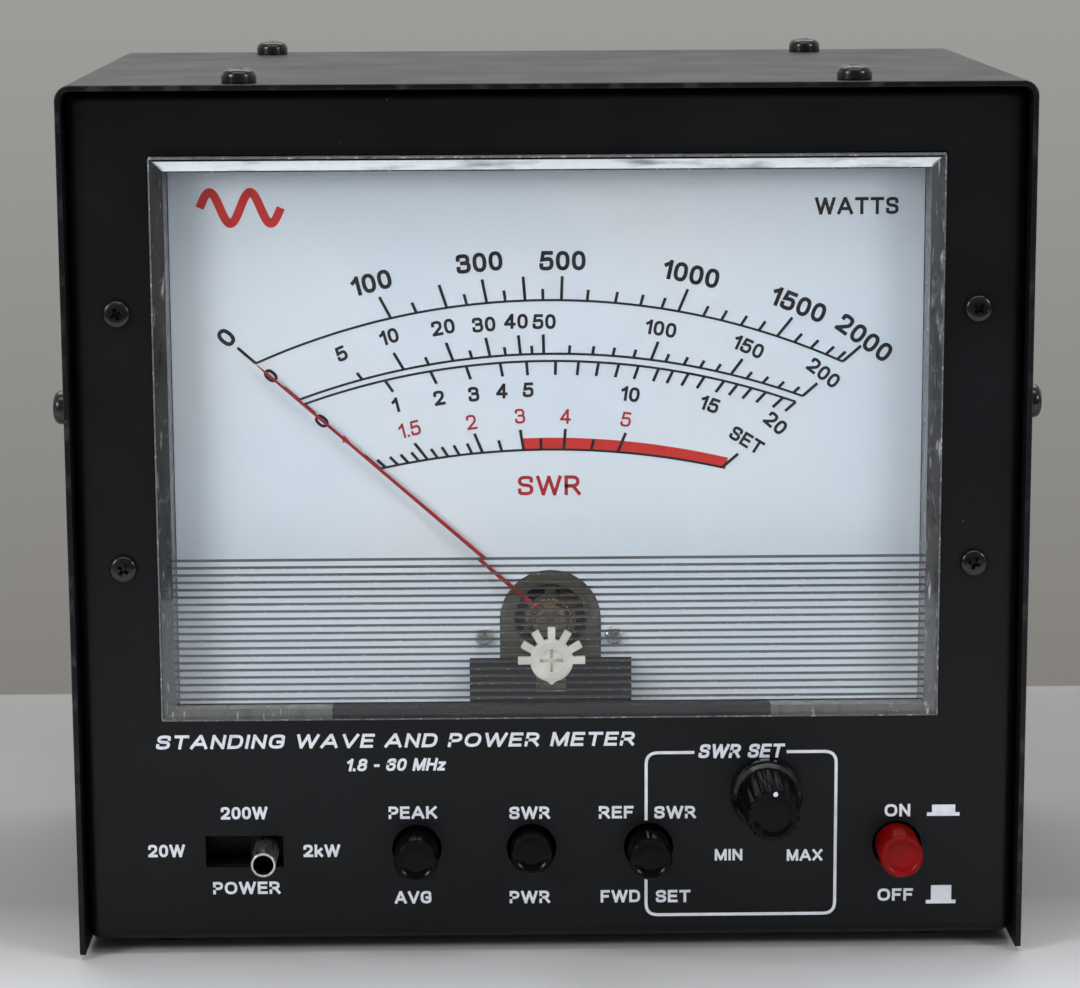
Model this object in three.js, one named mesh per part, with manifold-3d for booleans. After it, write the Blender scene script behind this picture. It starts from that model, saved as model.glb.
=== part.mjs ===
// SWR and power meter of an amateur radio station: a folded chassis and cover, a large panel meter
// with its moving coil movement, the front controls, and the coupler with its sockets at the back.
//
// Millimetres, +Z up. The front faces -Y. The origin is on the floor, under the middle of the object.
import * as THREE from 'three';
import { mergeVertices } from 'three/addons/utils/BufferGeometryUtils.js';
import { RoundedBoxGeometry } from 'three/addons/geometries/RoundedBoxGeometry.js';
import Module from 'manifold-3d';

const wasm = await Module();
wasm.setup();

// ---------------------------------------------------------------- driving dimensions
// Places are measured from the case: x = 0 at its middle, y = 0 at the cover's front rim with +Y
// towards the back, and z = 0 at the lower edge of the cover's sides.
const CASE_WIDTH = 190.5;
const CASE_HEIGHT = 174.7;
const CASE_DEPTH = 120.6;
const SHEET = 1.2;
const GAP = 0.3;
const COVER_BEND = 3;
const CHASSIS_BEND = 2.5;
const FLANGE = 12;
const BOTTOM_FLANGE = 8;

const PANEL_FRONT = 3;
const PANEL_BACK = PANEL_FRONT + SHEET;
const REAR_OUTSIDE = CASE_DEPTH - PANEL_FRONT;
const REAR_INSIDE = REAR_OUTSIDE - SHEET;
const CHASSIS_WIDTH = CASE_WIDTH - 2 * (SHEET + GAP);
const CHASSIS_BOTTOM = 1.9;
const CHASSIS_TOP = CASE_HEIGHT - SHEET - GAP;
const FLOOR_INSIDE = CHASSIS_BOTTOM + SHEET;

const FOOT = { radius: 6, chamfer: 0.9, belowCover: 1.1, x: 78, inset: 18 };

const TOP_SCREW_X = 60;
const TOP_SCREW_ROWS = [6.5, CASE_DEPTH - 8.5];
const SIDE_SCREW_Z = 110.8;
const SIDE_SCREW_ROWS = [8, CASE_DEPTH - 8];
const SCREW_HEAD = { radius: 3.45, height: 2.8, shank: 1.5, length: 7 };
const PANEL_SCREW_HEAD = { radius: 2.7, height: 1.3, shank: 1.3, length: 6.5 };
const PANEL_SCREW_X = 84.6;
const PANEL_SCREW_HEIGHTS = [79, 130];
const SCREW_HOLE_CLEARANCE = 0.3;
const UNDER_HEAD = 0.05;

const WINDOW_WIDTH = 155.4;
const WINDOW_BOTTOM = 48.1;
const WINDOW_TOP = 160.6;
const WINDOW_FRONT = 1;
const WINDOW_FACE = 2;
const WINDOW_WALL = 2.2;
const WINDOW_BACK = 17;
const RIB_COUNT = 20;
const RIB_PITCH = 1.49;
const RIB_TOP = 80.3;
const RIB_DEPTH = 0.7;

const METER_CASE = { width: 160.4, bottom: 45.6, top: 163.1, back: 38, wall: 2 };
const EAR = { reach: 8.4, height: 11, thickness: 2.5 };
const DIAL_FRONT = 12;
const DIAL_SHEET = 0.8;
const DIAL_SCREW_X = 13.15;
const DIAL_SCREW_Z = 64.15;
const DIAL_SCREW_HEAD = { radius: 1.9, height: 1.1, shank: 1, length: 5 };
const DIAL_POST = { radius: 2.6, tap: 1.3, tapBack: 19, back: 29 };
const STUD = { x: 30, z: 75, radius: 2, hole: 2.3, front: 33, back: 48, nut: 4, nutHeight: 3.2 };
const LAMP = { radius: 2.2, halfLength: 6, y: 25, belowTop: 7 };

const PIVOT_X = 0.3;
const PIVOT_Z = 67.5;
const POINTER_LENGTH = 77.5;
const POINTER_REST = 48.7;
const YOKE = { outer: 9.9, bore: 7.3, front: 11.6, back: 25.6, foot: 59.6 };
const CORE = { radius: 5.2, bore: 1, front: 12.7, back: 24.5 };
const COIL = { inner: 5.6, outer: 6.6, halfHeight: 2.1, front: 11.5, back: 25.7, bar: 0.8 };
const SHAFT = { radius: 0.6, bore: 0.85, front: 6.2, back: 29 };
const BEARING = { radius: 0.9, boss: 1.3, bossFront: 5 };
const HAIRSPRING = { turns: 2.5, inner: 1.5, pitch: 1.25, strip: 0.3, front: 8.2, back: 8.7 };
const BASE_BLOCK = { halfWidth: 16.1, bottom: 51.8, top: 59.3, front: 8, back: 35.7 };
const BRIDGE = { halfWidth: 3, bottom: 53, front: 6.5, back: 7.7 };
const ZERO_Z = 60.4;
const ZERO_PIN = { eccentric: 1.2, radius: 0.5, front: 3.5, back: 6.2 };
const ZERO_SHAFT = { radius: 2, hole: 2.35, back: 4 };
const ZERO_ARM = { front: 5.2, back: 5.9, ring: 2.7, ringBore: 1.65, halfWidth: 1.8, halfFork: 0.85 };
const STAR = { body: 4.3, tip: 6.7, toothHalf: 0.62, front: -0.7, back: 0.7, teeth: 7 };

const CONTROL_Z = 20.8;
const BUTTONS = [
  { name: 'peak_avg', x: -27, pressed: false },
  { name: 'swr_pwr', x: -3.85, pressed: true },
  { name: 'ref_fwd', x: 19.8, pressed: false },
  { name: 'on_off', x: 70.05, pressed: false },
];
const BUTTON = { radius: 4.35, front: -6.2, back: 5.5, travel: 4.5, stem: 1.5, stemBack: 18 };
const BUTTON_HOLE = 4.95;
const SWITCH = { half: 4.5, front: 11, back: 27.5, boreHalf: 1.9, boreBack: 24.5 };

const SLOT = { left: -69.6, right: -53.95, bottom: 17.3, top: 23.8 };
const LEVER = { x: -57.4, z: 20.55, radius: 2.5, wall: 0.45, front: -6.8, boreBack: -1 };
const CARRIAGE = { halfWidth: 3.6, halfHeight: 2.7, front: 8, back: 10.5 };
const SLIDE_BODY = { halfWidth: 14.5, halfHeight: 4.3, halfBore: 3.2, boreBack: 12, front: 4.5, back: 15 };

const KNOB_X = 43.5;
const KNOB_Z = 32;
const KNOB = { skirt: 7.2, waist: 6.1, face: 5.3, front: -15, skirtFront: 0, back: 2.4, flutes: 18 };
const KNOB_HOLLOW = { radius: 6.2, front: 0.6, shaftFront: 2.5 };
const FLUTE = { radius: 0.55, lean: 0.06, out: 0.72 };
const POT = { shaft: 3, bushing: 3.7, nut: 5.6, body: 8, threadFront: 1, front: 7, back: 15 };
const BOARD_PLATE = { left: -80, right: 85, front: 8, back: 72, thickness: 1.6, underSwitches: 0.3 };
const SPACER = { radius: 3, x: 72, y: 66 };

const SOCKET_X = 32;
const SOCKET_Z = 62;
const SOCKET = {
  flange: 12.7, flangeDepth: 3, barrel: 7.9, bore: 6.3, boreDepth: 8, spigot: 7.4, length: 12,
};
const INSULATOR = { radius: 5.2, contact: 2.1 };
const COUPLER = { half: 48, front: 84, bottom: 42, top: 82, wall: 1.5 };
const DC_JACK = { barrel: 4, flange: 5.8, bore: 2.8, pin: 1, front: 106, back: 119.6 };
const GROUND = { stud: 2.4, front: 111, back: 129, nut: 4.6, wing: 9, wingHalf: 2, hub: 4.2 };
const REAR_FITTING_X = 70;
const REAR_FITTING_Z = 30;

const FRONT_REACH = -KNOB.front;
const REAR_REACH = REAR_OUTSIDE + GAP + SOCKET.flangeDepth + SOCKET.length;
const RIM_Y = (FRONT_REACH - REAR_REACH) / 2;

const ROUND = 24;
const SMALL_ROUND = 14;

// ---------------------------------------------------------------- materials
function paint(color, roughness, metalness = 0) {
  return new THREE.MeshStandardMaterial({ color, roughness, metalness });
}
const BLACK_PAINT = paint(0x15161a, 0.45, 0.2);
const BLACK_SCREW = paint(0x101012, 0.35, 0.7);
const BLACK_PLASTIC = paint(0x121212, 0.4);
const BLACK_GLOSS = paint(0x0a0a0b, 0.2);
const RED_PLASTIC = paint(0xb01418, 0.35);
const WHITE_PLASTIC = paint(0xe4e4dc, 0.45);
const CLEAR_PLASTIC = paint(0xdfe6ea, 0.08);
const DIAL_WHITE = paint(0xe4e9f0, 0.6);
const POINTER_RED = paint(0xb3222a, 0.5);
const STEEL = paint(0xb9bcc0, 0.3, 0.95);
const DARK_STEEL = paint(0x4a463f, 0.5, 0.8);
const COPPER = paint(0xb06a3a, 0.4, 0.9);
const BRASS = paint(0xc09a4e, 0.35, 0.95);
const ALUMINIUM = paint(0xb4b7ba, 0.4, 0.9);
const RUBBER = paint(0x18181a, 0.85);
const BOARD = paint(0x2c5a34, 0.55);
const LAMP_GLASS = paint(0xf4ecd0, 0.2);

// ---------------------------------------------------------------- geometry helpers
// A closed mesh with one vertex at each corner, no empty triangles, and its faces pointing out.
function closed(geometry) {
  const bare = geometry.clone();
  for (const name of Object.keys(bare.attributes)) {
    if (name !== 'position') bare.deleteAttribute(name);
  }
  const merged = mergeVertices(bare, 1e-4);
  const index = merged.index.array;
  const position = merged.attributes.position;
  const corner = (i) => new THREE.Vector3().fromBufferAttribute(position, i);
  const kept = [];
  let volume = 0;
  for (let i = 0; i < index.length; i += 3) {
    const [a, b, c] = [index[i], index[i + 1], index[i + 2]];
    if (a === b || b === c || c === a) continue;
    kept.push(a, b, c);
    volume += corner(a).dot(corner(b).cross(corner(c)));
  }
  if (volume < 0) kept.reverse();
  merged.setIndex(kept);
  return merged;
}

function solid(geometry) {
  const mesh = closed(geometry);
  return new wasm.Manifold(new wasm.Mesh({
    numProp: 3,
    vertProperties: new Float32Array(mesh.attributes.position.array),
    triVerts: new Uint32Array(mesh.index.array),
  }));
}

function geometryOf(manifold) {
  const mesh = manifold.getMesh();
  const geometry = new THREE.BufferGeometry();
  geometry.setAttribute('position', new THREE.BufferAttribute(new Float32Array(mesh.vertProperties), 3));
  geometry.setIndex(new THREE.BufferAttribute(new Uint32Array(mesh.triVerts), 1));
  return geometry;
}

function cut(base, ...tools) {
  return geometryOf(tools.reduce((rest, tool) => rest.subtract(solid(tool)), solid(base)));
}

function join(base, ...others) {
  return geometryOf(others.reduce((sum, other) => sum.add(solid(other)), solid(base)));
}

function block([x0, x1], [y0, y1], [z0, z1]) {
  const box = new THREE.BoxGeometry(x1 - x0, y1 - y0, z1 - z0);
  return box.translate((x0 + x1) / 2, (y0 + y1) / 2, (z0 + z1) / 2);
}

function roundedBlock([x0, x1], [y0, y1], [z0, z1], radius, segments = 3) {
  const box = new RoundedBoxGeometry(x1 - x0, y1 - y0, z1 - z0, segments, radius);
  return box.translate((x0 + x1) / 2, (y0 + y1) / 2, (z0 + z1) / 2);
}

// A turned piece about an axis along Y through (x, z). The profile is a list of [radius, y].
function turned(profile, x = 0, z = 0, segments = ROUND) {
  const points = profile.map(([radius, y]) => new THREE.Vector2(radius, y));
  return new THREE.LatheGeometry(points, segments).translate(x, 0, z);
}

function rod(radius, [y0, y1], x = 0, z = 0, segments = ROUND) {
  return turned([[0, y0], [radius, y0], [radius, y1], [0, y1]], x, z, segments);
}

// A tube is closed on itself, so its profile ends where it starts.
function tube(outer, inner, [y0, y1], x = 0, z = 0, segments = ROUND) {
  return turned([[inner, y0], [outer, y0], [outer, y1], [inner, y1], [inner, y0]], x, z, segments);
}

function outline(points) {
  return new THREE.Shape(points.map(([u, v]) => new THREE.Vector2(u, v)));
}

// A shape drawn in x and z, given a thickness along Y.
function plateXZ(shape, [y0, y1], curveSegments = 12) {
  const plate = new THREE.ExtrudeGeometry(shape, { depth: y1 - y0, bevelEnabled: false, curveSegments });
  return plate.rotateX(Math.PI / 2).translate(0, y1, 0);
}

// A shape drawn in y and z, given a length along X.
function barYZ(shape, [x0, x1], curveSegments = 12) {
  const bar = new THREE.ExtrudeGeometry(shape, { depth: x1 - x0, bevelEnabled: false, curveSegments });
  const turn = new THREE.Matrix4().makeBasis(
    new THREE.Vector3(0, 1, 0), new THREE.Vector3(0, 0, 1), new THREE.Vector3(1, 0, 0));
  return bar.applyMatrix4(turn).translate(x0, 0, 0);
}

function hexagon(radius, [y0, y1], x = 0, z = 0) {
  return rod(radius, [y0, y1], x, z, 6);
}

// ---------------------------------------------------------------- the model's tree
const group = new THREE.Group();
const caseFrame = new THREE.Group();
caseFrame.position.set(0, RIM_Y, FOOT.belowCover);
group.add(caseFrame);

function addPiece(name, geometry, material, parent = caseFrame) {
  const piece = new THREE.Mesh(closed(geometry), material);
  piece.name = name;
  parent.add(piece);
  return piece;
}

// ---------------------------------------------------------------- case
// One folded sheet: front panel, bottom and rear panel, with flanges all round for the cover's screws.
function chassisGeometry() {
  const half = CHASSIS_WIDTH / 2;
  const outside = roundedBlock(
    [-half, half], [PANEL_FRONT, REAR_OUTSIDE], [CHASSIS_BOTTOM, CHASSIS_TOP], CHASSIS_BEND, 2);
  const inside = roundedBlock(
    [SHEET - half, half - SHEET], [PANEL_BACK, REAR_INSIDE], [FLOOR_INSIDE, CHASSIS_TOP - SHEET],
    CHASSIS_BEND - SHEET, 1);
  const openTopAndSides = block(
    [-CASE_WIDTH, CASE_WIDTH], [PANEL_FRONT + FLANGE, REAR_OUTSIDE - FLANGE],
    [CHASSIS_BOTTOM + BOTTOM_FLANGE, CASE_HEIGHT + 1]);
  return cut(outside, inside, openTopAndSides,
    ...frontPanelHoles(), ...rearPanelHoles(), ...coverScrewHoles());
}

function frontPanelHoles() {
  const through = [PANEL_FRONT - 1, PANEL_BACK + 1];
  const halfWindow = WINDOW_WIDTH / 2 + GAP;
  const holes = [
    block([-halfWindow, halfWindow], through, [WINDOW_BOTTOM - GAP, WINDOW_TOP + GAP]),
    block([SLOT.left, SLOT.right], through, [SLOT.bottom, SLOT.top]),
    rod(POT.bushing + GAP, through, KNOB_X, KNOB_Z),
  ];
  for (const button of BUTTONS) holes.push(rod(BUTTON_HOLE, through, button.x, CONTROL_Z));
  for (const side of [-1, 1]) {
    for (const z of PANEL_SCREW_HEIGHTS) {
      const radius = PANEL_SCREW_HEAD.shank + SCREW_HOLE_CLEARANCE;
      holes.push(rod(radius, through, side * PANEL_SCREW_X, z, SMALL_ROUND));
    }
  }
  return holes;
}

function rearPanelHoles() {
  const through = [REAR_INSIDE - 1, REAR_OUTSIDE + 1];
  return [
    rod(SOCKET.spigot + GAP, through, -SOCKET_X, SOCKET_Z),
    rod(SOCKET.spigot + GAP, through, SOCKET_X, SOCKET_Z),
    rod(DC_JACK.barrel + GAP, through, REAR_FITTING_X, REAR_FITTING_Z),
    rod(GROUND.stud + GAP, through, -REAR_FITTING_X, REAR_FITTING_Z, SMALL_ROUND),
  ];
}

function coverScrewHoles() {
  const radius = SCREW_HEAD.shank + SCREW_HOLE_CLEARANCE;
  const holes = [];
  for (const side of [-1, 1]) {
    for (const y of TOP_SCREW_ROWS) {
      const hole = rod(radius, [-5, 5], 0, 0, SMALL_ROUND).rotateX(Math.PI / 2);
      holes.push(hole.translate(side * TOP_SCREW_X, y, CASE_HEIGHT));
    }
    for (const y of SIDE_SCREW_ROWS) {
      const hole = rod(radius, [-5, 5], 0, 0, SMALL_ROUND).rotateZ(Math.PI / 2);
      holes.push(hole.translate(side * CASE_WIDTH / 2, y, SIDE_SCREW_Z));
    }
  }
  return holes;
}

// An upside-down U of sheet with round bends, cut off square at the front, the back and the feet.
function coverGeometry() {
  const arch = (halfWidth, top, bend) => {
    const shape = new THREE.Shape();
    shape.moveTo(-halfWidth, -1);
    shape.lineTo(halfWidth, -1);
    shape.lineTo(halfWidth, top - bend);
    shape.absarc(halfWidth - bend, top - bend, bend, 0, Math.PI / 2, false);
    shape.absarc(bend - halfWidth, top - bend, bend, Math.PI / 2, Math.PI, false);
    shape.closePath();
    return shape;
  };
  const half = CASE_WIDTH / 2;
  const outside = plateXZ(arch(half, CASE_HEIGHT, COVER_BEND), [0, CASE_DEPTH], 6);
  const inside = plateXZ(
    arch(half - SHEET, CASE_HEIGHT - SHEET, COVER_BEND - SHEET), [-1, CASE_DEPTH + 1], 6);
  const below = block([-CASE_WIDTH, CASE_WIDTH], [-1, CASE_DEPTH + 1], [-5, 0]);
  return cut(outside, inside, below, ...coverScrewHoles());
}

// A pan head screw with its head outwards along -Y and the underside of the head at y = 0.
function screwGeometry({ radius, height, shank, length }) {
  return turned([
    [0, -height], [radius * 0.66, -height * 0.97], [radius * 0.9, -height * 0.8],
    [radius, -height * 0.5], [radius, 0], [shank, 0], [shank, length], [0, length],
  ], 0, 0, SMALL_ROUND);
}

function addCase() {
  addPiece('chassis', chassisGeometry(), BLACK_PAINT);
  addPiece('top_cover', coverGeometry(), BLACK_PAINT);

  let topCount = 0;
  let sideCount = 0;
  let panelCount = 0;
  let footCount = 0;
  for (const side of [-1, 1]) {
    for (const y of TOP_SCREW_ROWS) {
      topCount += 1;
      const screw = addPiece(`top_screw_${topCount}`, screwGeometry(SCREW_HEAD), BLACK_SCREW);
      screw.position.set(side * TOP_SCREW_X, y, CASE_HEIGHT + UNDER_HEAD);
      screw.rotation.x = -Math.PI / 2;
    }
    for (const y of SIDE_SCREW_ROWS) {
      sideCount += 1;
      const screw = addPiece(`side_screw_${sideCount}`, screwGeometry(SCREW_HEAD), BLACK_SCREW);
      screw.position.set(side * (CASE_WIDTH / 2 + UNDER_HEAD), y, SIDE_SCREW_Z);
      screw.rotation.z = side * Math.PI / 2;
    }
    for (const z of PANEL_SCREW_HEIGHTS) {
      panelCount += 1;
      const screw = addPiece(`panel_screw_${panelCount}`, screwGeometry(PANEL_SCREW_HEAD), BLACK_SCREW);
      screw.position.set(side * PANEL_SCREW_X, PANEL_FRONT - UNDER_HEAD, z);
    }
    for (const y of [FOOT.inset, CASE_DEPTH - FOOT.inset]) {
      footCount += 1;
      const foot = addPiece(`foot_${footCount}`, footGeometry(), RUBBER);
      foot.position.set(side * FOOT.x, y, 0);
    }
  }
}

// A stick-on rubber bumper, widest where it meets the chassis.
function footGeometry() {
  const top = CHASSIS_BOTTOM - 0.05;
  const profile = [
    [0, top], [FOOT.radius, top], [FOOT.radius, 0.4],
    [FOOT.radius - FOOT.chamfer, -FOOT.belowCover], [0, -FOOT.belowCover],
  ];
  return turned(profile, 0, 0, 20).rotateX(Math.PI / 2);
}

// ---------------------------------------------------------------- panel meter
function windowGeometry() {
  const half = WINDOW_WIDTH / 2;
  const inner = half - WINDOW_WALL;
  const faceBack = WINDOW_FRONT + WINDOW_FACE;
  const shell = cut(
    block([-half, half], [WINDOW_FRONT, WINDOW_BACK], [WINDOW_BOTTOM, WINDOW_TOP]),
    block(
      [-inner, inner], [faceBack, WINDOW_BACK + 1],
      [WINDOW_BOTTOM + WINDOW_WALL, WINDOW_TOP - WINDOW_WALL]));
  const ribs = [[faceBack - 0.5, RIB_TOP]];
  for (let i = 0; i < RIB_COUNT; i += 1) {
    const top = RIB_TOP - i * RIB_PITCH;
    ribs.push([faceBack, top], [faceBack + RIB_DEPTH, top - RIB_PITCH / 2]);
  }
  const ribBottom = RIB_TOP - RIB_COUNT * RIB_PITCH;
  ribs.push([faceBack, ribBottom], [faceBack - 0.5, ribBottom]);
  const ribbed = join(shell, barYZ(outline(ribs), [-inner - 0.5, inner + 0.5]));
  return cut(ribbed, rod(ZERO_SHAFT.hole, [0, 6], PIVOT_X, ZERO_Z));
}

function meterCaseGeometry() {
  const half = METER_CASE.width / 2;
  const { wall, bottom, top, back } = METER_CASE;
  const front = PANEL_BACK + GAP;
  const tub = cut(
    block([-half, half], [front, back], [bottom, top]),
    block([wall - half, half - wall], [front - 1, back - wall], [bottom + wall, top - wall]));
  const ears = [];
  for (const side of [-1, 1]) {
    for (const z of PANEL_SCREW_HEIGHTS) {
      const [near, far] = [half - 0.5, half + EAR.reach];
      const x = side > 0 ? [near, far] : [-far, -near];
      const ear = block(x, [front, front + EAR.thickness], [z - EAR.height / 2, z + EAR.height / 2]);
      ears.push(ear);
    }
  }
  const holes = [];
  for (const side of [-1, 1]) {
    for (const z of PANEL_SCREW_HEIGHTS) {
      const radius = PANEL_SCREW_HEAD.shank + SCREW_HOLE_CLEARANCE;
      holes.push(rod(radius, [front - 1, front + EAR.thickness + 1], side * PANEL_SCREW_X, z, SMALL_ROUND));
    }
    holes.push(rod(STUD.hole, [back - wall - 1, back + 1], side * STUD.x, STUD.z, SMALL_ROUND));
  }
  return cut(join(tub, ...ears), ...holes);
}

// The scale plate, with a notch at the bottom that the movement looks out through.
function dialGeometry() {
  const halfWidth = WINDOW_WIDTH / 2 - WINDOW_WALL - 0.7;
  const bottom = WINDOW_BOTTOM + WINDOW_WALL + GAP;
  const top = WINDOW_TOP - WINDOW_WALL - GAP;
  const notch = BASE_BLOCK.halfWidth + GAP;
  const arch = YOKE.outer + GAP;
  const shape = new THREE.Shape();
  shape.moveTo(-halfWidth, bottom);
  shape.lineTo(PIVOT_X - notch, bottom);
  shape.lineTo(PIVOT_X - notch, BASE_BLOCK.top + GAP);
  shape.lineTo(PIVOT_X - arch, BASE_BLOCK.top + GAP);
  shape.lineTo(PIVOT_X - arch, PIVOT_Z);
  shape.absarc(PIVOT_X, PIVOT_Z, arch, Math.PI, 0, true);
  shape.lineTo(PIVOT_X + arch, BASE_BLOCK.top + GAP);
  shape.lineTo(PIVOT_X + notch, BASE_BLOCK.top + GAP);
  shape.lineTo(PIVOT_X + notch, bottom);
  shape.lineTo(halfWidth, bottom);
  shape.lineTo(halfWidth, top);
  shape.lineTo(-halfWidth, top);
  shape.closePath();
  for (const side of [-1, 1]) {
    const hole = new THREE.Path();
    hole.absarc(side * DIAL_SCREW_X, DIAL_SCREW_Z, DIAL_POST.tap, 0, 2 * Math.PI, true);
    shape.holes.push(hole);
  }
  return plateXZ(shape, [DIAL_FRONT, DIAL_FRONT + DIAL_SHEET], 8);
}

// Soft iron arch that closes the magnetic field around the core.
function yokeGeometry() {
  const shape = new THREE.Shape();
  shape.moveTo(-YOKE.outer, YOKE.foot - PIVOT_Z);
  shape.lineTo(YOKE.outer, YOKE.foot - PIVOT_Z);
  shape.lineTo(YOKE.outer, 0);
  shape.absarc(0, 0, YOKE.outer, 0, Math.PI, false);
  shape.closePath();
  const bore = new THREE.Path();
  bore.absarc(0, 0, YOKE.bore, 0, 2 * Math.PI, true);
  shape.holes.push(bore);
  return plateXZ(shape, [YOKE.front, YOKE.back]).translate(PIVOT_X, 0, PIVOT_Z);
}

// The magnet core sits inside the coil; two thin lugs, above and below, reach the yoke's bore.
function coreGeometry() {
  const lug = block([-1.1, 1.1], [CORE.front, CORE.back], [-YOKE.bore + GAP, YOKE.bore - GAP]);
  const core = join(rod(CORE.radius, [CORE.front, CORE.back]), lug);
  return cut(core, rod(CORE.bore, [CORE.front - 1, CORE.back + 1], 0, 0, SMALL_ROUND))
    .translate(PIVOT_X, 0, PIVOT_Z);
}

function movementFrameGeometry() {
  const { halfWidth, bottom, top, front, back } = BASE_BLOCK;
  const base = block([-halfWidth, halfWidth], [front, back], [bottom, top]);
  const backPlate = block([-9.6, 9.6], [27, 30], [top - 1, PIVOT_Z + 9.5]);
  const posts = [-1, 1].map((side) => rod(
    DIAL_POST.radius, [DIAL_FRONT + DIAL_SHEET + 0.1, DIAL_POST.back],
    side * DIAL_SCREW_X - PIVOT_X, DIAL_SCREW_Z, SMALL_ROUND));
  const arm = block([-DIAL_SCREW_X - 2, DIAL_SCREW_X + 2], [27, 29], [DIAL_SCREW_Z - 3, DIAL_SCREW_Z + 3]);
  const bearing = rod(BEARING.radius, [26, SHAFT.back + 0.4], 0, PIVOT_Z, SMALL_ROUND);
  const taps = [-1, 1].map((side) => rod(
    DIAL_POST.tap, [DIAL_FRONT, DIAL_POST.tapBack],
    side * DIAL_SCREW_X - PIVOT_X, DIAL_SCREW_Z, SMALL_ROUND));
  return cut(join(base, backPlate, arm, ...posts), bearing, ...taps).translate(PIVOT_X, 0, 0);
}

// The strap that stands on the base block and carries the front bearing and the zero arm's boss.
function bridgeGeometry() {
  const shape = new THREE.Shape();
  shape.moveTo(-BRIDGE.halfWidth, BRIDGE.bottom);
  shape.lineTo(BRIDGE.halfWidth, BRIDGE.bottom);
  shape.lineTo(BRIDGE.halfWidth, PIVOT_Z);
  shape.absarc(0, PIVOT_Z, BRIDGE.halfWidth, 0, Math.PI, false);
  shape.closePath();
  const strap = plateXZ(shape, [BRIDGE.front, BRIDGE.back], 8);
  const boss = rod(BEARING.boss, [BEARING.bossFront, BRIDGE.front + 0.5], 0, PIVOT_Z, SMALL_ROUND);
  const bearing = rod(BEARING.radius, [BEARING.bossFront + 0.6, BRIDGE.back + 1], 0, PIVOT_Z, SMALL_ROUND);
  return cut(join(strap, boss), bearing).translate(PIVOT_X, 0, 0);
}

// Flat spiral spring between the shaft and the zero arm.
function hairspringGeometry() {
  const steps = 45;
  const { turns, inner, pitch, strip, front, back } = HAIRSPRING;
  const at = (i, offset) => {
    const turn = (turns * i) / steps;
    const radius = inner + pitch * turn + offset;
    return [radius * Math.cos(2 * Math.PI * turn), radius * Math.sin(2 * Math.PI * turn)];
  };
  const outside = [];
  const inside = [];
  for (let i = 0; i <= steps; i += 1) {
    outside.push(at(i, strip));
    inside.unshift(at(i, 0));
  }
  return plateXZ(outline([...outside, ...inside]), [front, back]).translate(PIVOT_X, 0, PIVOT_Z);
}

// The fork on the bridge's boss, with the zero adjuster's pin between its prongs.
function zeroArmGeometry() {
  const { front, back, ring, ringBore, halfWidth, halfFork } = ZERO_ARM;
  const through = [front - 1, back + 1];
  const reach = PIVOT_Z - (ZERO_Z - ZERO_PIN.eccentric);
  const arm = join(
    rod(ring, [front, back], 0, 0, SMALL_ROUND),
    block([-halfWidth, halfWidth], [front, back], [-reach - 1.5, 0]));
  return cut(arm,
    rod(ringBore, through, 0, 0, SMALL_ROUND),
    block([-halfFork, halfFork], through, [-reach - 2, -reach + 1.5])).translate(PIVOT_X, 0, PIVOT_Z);
}

// Star shaped zero adjuster: a slotted head in front of the window and an eccentric pin behind it.
function zeroAdjusterGeometry() {
  const head = turned([
    [0, STAR.front], [STAR.body - 0.5, STAR.front], [STAR.body, STAR.front + 0.5], [STAR.body, STAR.back],
    [0, STAR.back],
  ]);
  const spread = Math.PI / (STAR.teeth - 1);
  const teeth = [];
  for (let i = 0; i < STAR.teeth; i += 1) {
    const tooth = block(
      [-STAR.toothHalf, STAR.toothHalf], [STAR.front + 0.3, STAR.back], [STAR.body - 0.8, STAR.tip]);
    teeth.push(tooth.rotateY(i * spread - Math.PI / 2));
  }
  const mark = plateXZ(outline([[-0.9, -4], [0, -5], [0.9, -4]]), [STAR.front + 0.3, STAR.back]);
  const shaft = rod(ZERO_SHAFT.radius, [STAR.back - 0.2, ZERO_SHAFT.back], 0, 0, SMALL_ROUND);
  const pin = rod(ZERO_PIN.radius, [ZERO_PIN.front, ZERO_PIN.back], 0, -ZERO_PIN.eccentric, 10);
  const slots = [
    block([-0.4, 0.4], [-2, STAR.front + 0.6], [-2.4, 2.4]),
    block([-2.4, 2.4], [-2, STAR.front + 0.6], [-0.4, 0.4]),
  ];
  return cut(join(head, ...teeth, mark, shaft, pin), ...slots).translate(PIVOT_X, 0, ZERO_Z);
}

function addMovingCoil() {
  const assembly = new THREE.Group();
  assembly.position.set(PIVOT_X, 0, PIVOT_Z);
  assembly.rotation.y = THREE.MathUtils.degToRad(-POINTER_REST);
  caseFrame.add(assembly);

  const bore = rod(SHAFT.bore, [0, 40], 0, 0, SMALL_ROUND);
  const needle = plateXZ(
    outline([[-0.6, 1], [0.6, 1], [0.3, POINTER_LENGTH], [-0.3, POINTER_LENGTH]]), [10.4, 11]);
  const hub = rod(2, [10.2, 11.2], 0, 0, SMALL_ROUND);
  addPiece('pointer', cut(join(hub, needle), bore), POINTER_RED, assembly);

  const former = cut(
    block([-COIL.outer, COIL.outer], [COIL.front, COIL.back], [-COIL.halfHeight, COIL.halfHeight]),
    block([-COIL.inner, COIL.inner], [COIL.front + COIL.bar, COIL.back - COIL.bar], [-5, 5]),
    bore);
  addPiece('moving_coil', former, COPPER, assembly);
  addPiece('pivot_shaft', rod(SHAFT.radius, [SHAFT.front, SHAFT.back], 0, 0, 12), STEEL, assembly);
}

function studGeometry() {
  const nutFront = METER_CASE.back + GAP;
  const nut = hexagon(STUD.nut, [nutFront, nutFront + STUD.nutHeight]);
  return join(rod(STUD.radius, [STUD.front, STUD.back], 0, 0, SMALL_ROUND), nut);
}

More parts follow.
